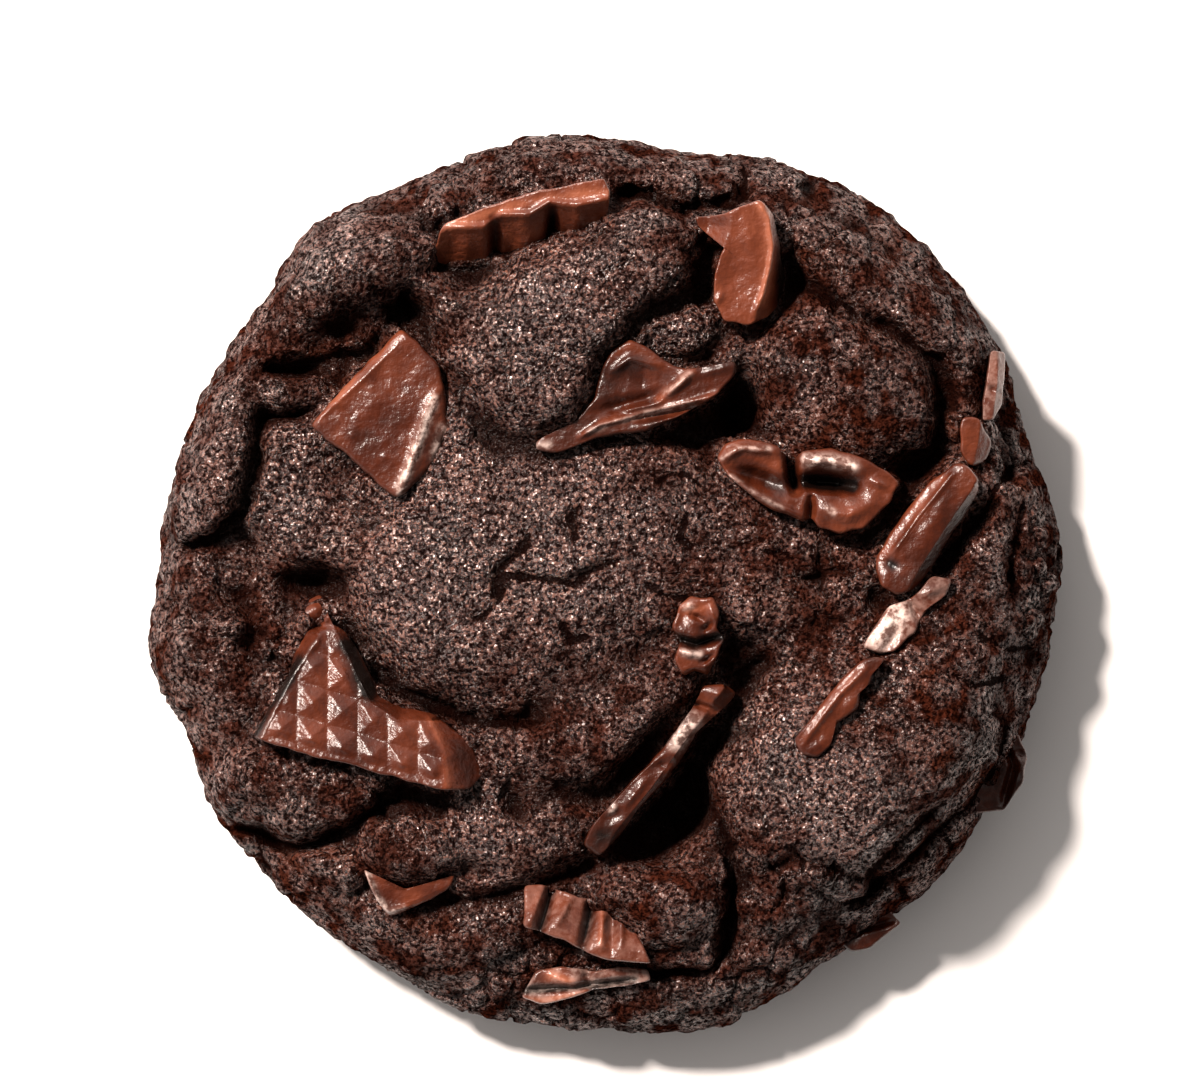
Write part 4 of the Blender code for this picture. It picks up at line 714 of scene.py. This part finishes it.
def wobbled(plan):
    """The plan shifted a little by noise, so that the lines of folds and creases wander."""
    for cell, reach in WOBBLES:
        plan = plan + reach * np.stack([noise(plan, cell, 1), noise(plan, cell, 2)], axis=-1)
    return plan


def top_height(plan):
    """Height of the dough: folds that fall from their crown with the square and the sixth power of the
    distance, blended by their exponentials, less the grooves, all on the wobbled plan."""
    plan = wobbled(plan)
    floor = FLOOR_HEIGHT - FLOOR_FALL * (plan**2).sum(axis=-1) / min(RIM_RADII) ** 2
    total = np.exp(floor / FOLD_BLEND - 50)
    for spine in FOLDS:
        height = np.full(plan.shape[:-1], -99.0)
        for pair in zip(spine, spine[1:]):
            distance, carried, _ = nearest_on_path(plan, pair)
            across = np.minimum(distance / carried[..., 2], 2.0)
            fall = FOLD_CROWN_DROP * across**2 + FOLD_WALL_DROP * across**6
            height = np.maximum(height, carried[..., 3] - fall)
        total = total + np.exp(height / FOLD_BLEND - 50)
    height = FOLD_BLEND * (np.log(total) + 50)
    for crease in CREASES:
        height = height - groove(plan, *crease)
    return height


def nearness_to_lines(plan):
    """1 on the lines of the cracks and a little less on thin creases, less the distance as a share of
    LINE_REACH and an unevenness from noise, down to 0."""
    uneven = 0.12 * noise(plan, 1.1, 3) + 0.10 * noise(plan, 3.4, 4)
    plan = wobbled(plan)
    lines = [nearest_on_path(plan, path)[0] / LINE_REACH + (0 if half_width < FINE_CRACK else 0.06)
             for half_width, _, path in CREASES if half_width < THIN_CREASE]
    return np.clip(1 - np.min(lines, axis=0) - uneven, 0, 1)


def bedded(plan, height):
    """The dough's height, kept between two shares of a chunk's thickness below its face, with slopes that run
    out beside it, and lowered under the chunk itself. Chunks in the side lie too low to need a seat."""
    lowest_face, seat_share, cover_share = 10.0, 0.55, 0.22
    for chunk in CHUNKS.values():
        if chunk["face"][0] < lowest_face:
            continue
        beside = outside_of(plan, chunk["corners"])
        face, thick = face_height(plan, chunk), chunk["thick"]
        seat = face - seat_share * thick - 3.0 * np.maximum(beside, 0)
        height = np.clip(height, seat, face - cover_share * thick + 1.8 * np.maximum(beside, 0))
        height = height - 2.2 * np.clip(-beside - 0.5, 0, 1)
    return height


def near_places(points, places):
    """The sum of bell curves of the distance in plan to places, each given by x, y and its reach."""
    return sum(np.exp(-(((points[:, 0] - x) ** 2 + (points[:, 1] - y) ** 2) / r**2)) for x, y, r in places)


def disc_grid(cells):
    """A square grid folded onto a disc: each point's share of the radius, and its angle."""
    u, v = np.meshgrid(*[np.linspace(-1, 1, cells + 1)] * 2, indexing="ij")
    share = np.maximum(abs(u), abs(v))
    whole = np.where(share == 0, 1, share)
    sideways = abs(u) >= abs(v)
    angle = np.where(
        sideways,
        np.pi / 4 * v / np.where(sideways, np.where(u == 0, whole, u), 1),
        np.pi / 2 - np.pi / 4 * u / np.where(sideways, 1, v),
    )
    return share, angle + np.where(np.where(sideways, u, v) < 0, np.pi, 0)


def evened(values, times):
    """A grid of values averaged with its neighbours along rows and columns, its border kept."""
    for _ in range(times):
        values = values.copy()
        values[1:-1] = (values[:-2] + 2 * values[1:-1] + values[2:]) / 4
        values[:, 1:-1] = (values[:, :-2] + 2 * values[:, 1:-1] + values[:, 2:]) / 4
    return values


# The dough's skin: the grid folded onto the disc is its top, bent down over the shoulder, and below its
# border rows lead down to the underside and rings across it
share, angle = disc_grid(CELLS)
radius = rim_radius(angle)
turn = np.clip((share - FLAT_SHARE) / (1 - FLAT_SHARE), 0, 1) * np.pi / 2
from_middle = np.minimum(share / FLAT_SHARE, 1) * (radius - SHOULDER) + SHOULDER * np.sin(turn) ** ROUNDNESS
plan = from_middle[..., None] * np.stack([np.cos(angle), np.sin(angle)], axis=-1)
height = evened(bedded(plan, top_height(plan)), 2)
height = RIM_HEIGHT + (height - RIM_HEIGHT) * np.abs(np.cos(turn)) ** ROUNDNESS
top = np.concatenate([plan, height[..., None]], axis=-1)
index = np.arange(top.shape[0] * top.shape[1]).reshape(top.shape[:2])
edge = np.concatenate([index[:-1, 0], index[-1, :-1], index[:0:-1, -1], index[0, :0:-1]])
edge_angle = angle.reshape(-1)[edge]
edge_radius = rim_radius(edge_angle)
rows = []
for k in range(1, UNDERCUT_ROWS + 1):
    turn = k / UNDERCUT_ROWS * np.pi / 2
    rows.append((edge_radius - SETBACK * (1 - np.cos(turn)), RIM_HEIGHT * (1 - np.sin(turn))))
for k in range(1, BASE_RINGS + 1):
    rows.append(((edge_radius - SETBACK) * (1 - k / (BASE_RINGS + 0.3)), 0.0))
below = np.stack([np.column_stack([r * np.cos(edge_angle), r * np.sin(edge_angle), np.full(len(edge), z)])
                  for r, z in rows])
quads = [np.stack([index[:-1, :-1], index[1:, :-1], index[1:, 1:], index[:-1, 1:]], axis=-1).reshape(-1, 4)]
above = edge
for k in range(len(rows)):
    under = index.size + k * len(edge) + np.arange(len(edge))
    quads.append(np.stack([above, under, np.roll(under, -1), np.roll(above, -1)], axis=-1))
    above = under
skin = np.concatenate([top.reshape(-1, 3), below.reshape(-1, 3)])

mesh = bpy.data.meshes.new("baked_dough")
mesh.from_pydata((skin * MM).tolist(), [], np.concatenate(quads).tolist() + [above[::-1].tolist()])
mesh.update()
normals = np.empty(len(mesh.vertices) * 3, np.float32)
mesh.vertex_normals.foreach_get("vector", normals)
normals = normals.reshape(-1, 3).astype(float)

# The crust: unevenness of falling size and plates that parted at cracks, all along the normals. The smooth
# mounds are less crackled. They and the rim carry a thinner film, and the rim has no buttery patches.
free = np.clip((skin[:, 2] - 0.3) / 1.5, 0, 1)
swell = sum(rise * noise(skin, cell, 61 + k) for k, (cell, rise) in enumerate(SWELLS))
crackled = 1 - 0.7 * np.minimum(near_places(skin, SMOOTH_MOUNDS), 1)
for k, (cell, rise) in enumerate(WRINKLES):
    swell += rise * (np.abs(noise(skin, cell, 65 + k)) - 0.3) * crackled
cell, reach = PLATE_BEND
warped = skin + reach * np.stack([noise(skin, cell, seed) for seed in (71, 72, 73)], axis=-1)
past, level = plates(warped, PLATE_SIZE, 81)
width, deep = PLATE_CRACK
where = np.clip(0.45 + 0.9 * noise(skin, 7.5, 91), 0, 1) * crackled
crack = np.exp(-((past / width) ** 2)) * where
lift = swell + PLATE_STEP * level * np.clip(past / 0.8, 0, 1) - deep * crack
skin = skin + normals * (lift * free)[:, None]
height = skin[:index.size, 2].reshape(index.shape)
# Painted shade: how far a point lies below its smoothed surroundings, plus the cracks, darkens the colour in
# the hollows, and the nearness to cracks and thin creases paints dark lines along them.
hollow_shade = np.clip((evened(height, 60) - height) * 0.9 + 0.25 * (evened(height, 300) - height), -1, 2)
hollow_shade = np.append(hollow_shade.ravel(), np.full(len(skin) - index.size, 0.2)) + 0.5 * crack
line = np.append(nearness_to_lines(plan).ravel(), np.zeros(len(skin) - index.size))
rim = np.append(np.clip((share.ravel() - 0.78) / 0.14, 0, 1) * 0.8, np.ones(len(skin) - index.size))
butter_and_painted_sheen = near_places(skin, BUTTER_AND_PAINTED_SHEEN)
mesh.vertices.foreach_set("co", (skin * MM).astype(np.float32).ravel())
carry(mesh, "hollow_shade", hollow_shade)
carry(mesh, "line", line)
carry(mesh, "smooth", np.maximum(1 - crackled, rim))
carry(mesh, "butter_and_painted_sheen", np.minimum(butter_and_painted_sheen, 1) * (1 - rim))
mesh.shade_smooth()
mesh.update()

# Baked cocoa dough: flour, cocoa, butter and brown sugar. The crust is matt and grainy, with pale flakes,
# partly sugar and partly a painted sheen; hollows, gaps between grains and splits are painted darker and
# redder as shade, and butter puts small glints on the grains.
dough, tree, shader, place = new_material("baked_cocoa_dough")
hollow_shade = add_node(tree, "Attribute", {"attribute_name": "hollow_shade"}).outputs["Fac"]
smooth = add_node(tree, "Attribute", {"attribute_name": "smooth"}).outputs["Fac"]
butter_and_painted_sheen = add_node(tree, "Attribute", {"attribute_name": "butter_and_painted_sheen"}).outputs["Fac"]
line = add_node(tree, "Attribute", {"attribute_name": "line"}).outputs["Fac"]
# The grain: bent cells with a dome each, and ragged flakes of a finer noise that stand above them
warp = add_node(tree, "TexNoise", Vector=place, Scale=2600.0, Detail=2.0)
bent = add_node(tree, "VectorMath", {"operation": "MULTIPLY_ADD"},
                i0=warp.outputs["Color"], i1=(0.00038,) * 3, i2=place)
grains = add_node(tree, "TexVoronoi", {"feature": "F1"}, Vector=bent.outputs[0], Scale=2900.0, Randomness=1.0)
grain_kind = add_node(tree, "SeparateColor", i0=grains.outputs["Color"])
spread = add_node(tree, "Math", {"operation": "MULTIPLY"}, i0=grains.outputs["Distance"], i1=1.35)
spread = add_node(tree, "Math", {"operation": "MULTIPLY"}, i0=spread.outputs[0], i1=spread.outputs[0])
dome = add_node(tree, "Math", {"operation": "SUBTRACT", "use_clamp": True}, i0=1.0, i1=spread.outputs[0])
clumps = add_node(tree, "TexNoise", Vector=bent.outputs[0], Scale=900.0, Detail=2.0).outputs["Fac"]
flakes = add_node(tree, "TexNoise", Vector=bent.outputs[0], Scale=2000.0, Detail=3.0, Roughness=0.65)
flakes = flakes.outputs["Fac"]
flake = add_node(tree, "MapRange", i0=flakes, i1=0.42, i2=0.58, i3=0.0, i4=1.0)
step = add_node(tree, "Math", {"operation": "MULTIPLY_ADD"}, i0=flake.outputs[0], i1=1.4, i2=dome.outputs[0])
# Browns that change slowly over the crust, with pale flakes where the film of butter is thick: partly sugar,
# partly a painted sheen
broad = add_node(tree, "TexNoise", Vector=place, Scale=160.0, Detail=4.0, Roughness=0.6)
base = add_node(tree, "ValToRGB", i0=broad.outputs["Fac"])
base.color_ramp.elements.new(0.55)
for element, position in zip(base.color_ramp.elements, (0.30, 0.55, 0.75)):
    element.position = position
for element, code in zip(base.color_ramp.elements, ("#2A110A", "#3F1C12", "#50291B")):
    element.color = linear(code)
film_patch = add_node(tree, "TexNoise", Vector=place, Scale=330.0, Detail=3.0, Roughness=0.6)
coat_and_painted_sheen = add_node(tree, "MapRange", i0=film_patch.outputs["Fac"], i1=0.41, i2=0.60, i3=0.06, i4=0.72)
coat_and_painted_sheen = add_node(tree, "Math", {"operation": "MULTIPLY_ADD"}, i0=smooth, i1=-0.10, i2=coat_and_painted_sheen.outputs[0])
coat_and_painted_sheen = add_node(tree, "Math", {"operation": "MULTIPLY_ADD", "use_clamp": True},
                i0=butter_and_painted_sheen, i1=0.8, i2=coat_and_painted_sheen.outputs[0])
sugar_and_painted_sheen = add_node(tree, "MapRange", i0=flakes, i1=0.48, i2=0.66, i3=0.0, i4=0.52)
sugar_and_painted_sheen = add_node(tree, "Math", {"operation": "MULTIPLY"}, i0=sugar_and_painted_sheen.outputs[0], i1=coat_and_painted_sheen.outputs[0])
with_grains = add_node(tree, "Mix", {"data_type": "RGBA"},
                       i0=sugar_and_painted_sheen.outputs[0], i6=base.outputs[0], i7=linear("#8E6A5E"))
# Painted shade: dark in the hollows, between the grains and along ragged splits; the film coats what isn't
# painted dark
depth = add_node(tree, "MapRange", i0=hollow_shade, i1=-0.1, i2=1.1, i3=0.0, i4=0.88)
between = add_node(tree, "MapRange", i0=step.outputs[0], i1=0.45, i2=1.9, i3=0.97, i4=0.0)
ragged = add_node(tree, "Math", {"operation": "MULTIPLY_ADD"}, i0=flakes, i1=-0.5, i2=line)
split = add_node(tree, "MapRange", i0=ragged.outputs[0], i1=0.45, i2=0.56, i3=0.0, i4=0.97)
between = add_node(tree, "Math", {"operation": "MAXIMUM"}, i0=between.outputs[0], i1=split.outputs[0])
shade = add_node(tree, "Math", {"operation": "MAXIMUM"}, i0=depth.outputs[0], i1=between.outputs[0])
colour = add_node(tree, "Mix", {"data_type": "RGBA"},
                  i0=shade.outputs[0], i6=with_grains.outputs[2], i7=linear("#0B0302"))
tree.links.new(colour.outputs[2], shader.inputs["Base Color"])
shader.inputs["Roughness"].default_value = 0.9
shader.inputs["Specular IOR Level"].default_value = 0.0
bare = add_node(tree, "Math", {"operation": "SUBTRACT", "use_clamp": True}, i0=1.0, i1=shade.outputs[0])
coat_and_painted_sheen = add_node(tree, "Math", {"operation": "MULTIPLY"}, i0=coat_and_painted_sheen.outputs[0], i1=bare.outputs[0])
tree.links.new(coat_and_painted_sheen.outputs[0], shader.inputs["Coat Weight"])
shader.inputs["Coat Roughness"].default_value = 0.27
shader.inputs["Coat IOR"].default_value = 2.15
shader.inputs["Coat Tint"].default_value = linear("#FFE9DC")
# The relief adds a level for each grain, clumps of grains and the splits' depth
step = add_node(tree, "Math", {"operation": "MULTIPLY_ADD"},
                i0=grain_kind.outputs[2], i1=0.5, i2=step.outputs[0])
step = add_node(tree, "Math", {"operation": "MULTIPLY_ADD"}, i0=clumps, i1=4.0, i2=step.outputs[0])
step = add_node(tree, "Math", {"operation": "MULTIPLY_ADD"}, i0=split.outputs[0], i1=-3.0, i2=step.outputs[0])
bump = add_node(tree, "Bump", Strength=1.0, Distance=0.00009, Height=step.outputs[0])
tree.links.new(bump.outputs[0], shader.inputs["Normal"])
tree.links.new(bump.outputs[0], shader.inputs["Coat Normal"])

piece = placed("baked_dough", mesh)
piece.data.materials.append(dough)
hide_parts("dough")
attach(piece, "root")

# The table: a smooth white sheet under the cookie, lit till it is almost blank.
floor_mesh = bpy.data.meshes.new("white_sheet")
floor_mesh.from_pydata([(-1, -1, 0), (1, -1, 0), (1, 1, 0), (-1, 1, 0)], [], [(0, 1, 2, 3)])
floor = placed("white_sheet", floor_mesh)
sheet, _, shader, _ = new_material("matt_white_card")
shader.inputs["Base Color"].default_value = linear("#F6F6F6")
shader.inputs["Roughness"].default_value = 0.9
floor.data.materials.append(sheet)

# The studio: one soft lamp from the upper left, a pale room that glows most low down and on the lamp's side,
# and the camera straight above.
lamp = bpy.data.lights.new("key_lamp", "SUN")
lamp.energy, lamp.angle = 8.4, math.radians(8)
lamp.color = (1.0, 0.87, 0.79)
key = placed("key_lamp", lamp)
from_above = math.tan(math.radians(47))
key.rotation_euler = Vector((-0.7071, 0.7071, from_above)).to_track_quat("Z", "Y").to_euler()
world = bpy.data.worlds.new("pale_room")
world.use_nodes = True
direction = add_node(world.node_tree, "TexCoord").outputs["Generated"]
towards = add_node(world.node_tree, "SeparateXYZ", i0=direction)
glow = add_node(world.node_tree, "MapRange", i0=towards.outputs["Z"], i1=0.0, i2=1.0, i3=1.20, i4=0.05)
side = add_node(world.node_tree, "VectorMath", {"operation": "DOT_PRODUCT"},
                i0=direction, i1=(-0.7, 0.7, 0.0))
side = add_node(world.node_tree, "Math", {"operation": "MULTIPLY_ADD"}, i0=side.outputs[1], i1=0.85, i2=1.0)
glow = add_node(world.node_tree, "Math", {"operation": "MULTIPLY"}, i0=glow.outputs[0], i1=side.outputs[0])
backdrop = world.node_tree.nodes["Background"]
world.node_tree.links.new(glow.outputs[0], backdrop.inputs["Strength"])
backdrop.inputs["Color"].default_value = (1.0, 0.92, 0.87, 1)
bpy.context.scene.world = world
bpy.context.scene.view_settings.view_transform = "Standard"

camera = bpy.data.cameras.new("camera")
camera.lens, camera.sensor_width = 200.0, 36.0
eye = placed("camera", camera)
above_cookie, middle_of_height = 0.66667, 0.011
eye.location = (-0.0005, 0.00455, above_cookie + middle_of_height)
bpy.context.scene.camera = eye
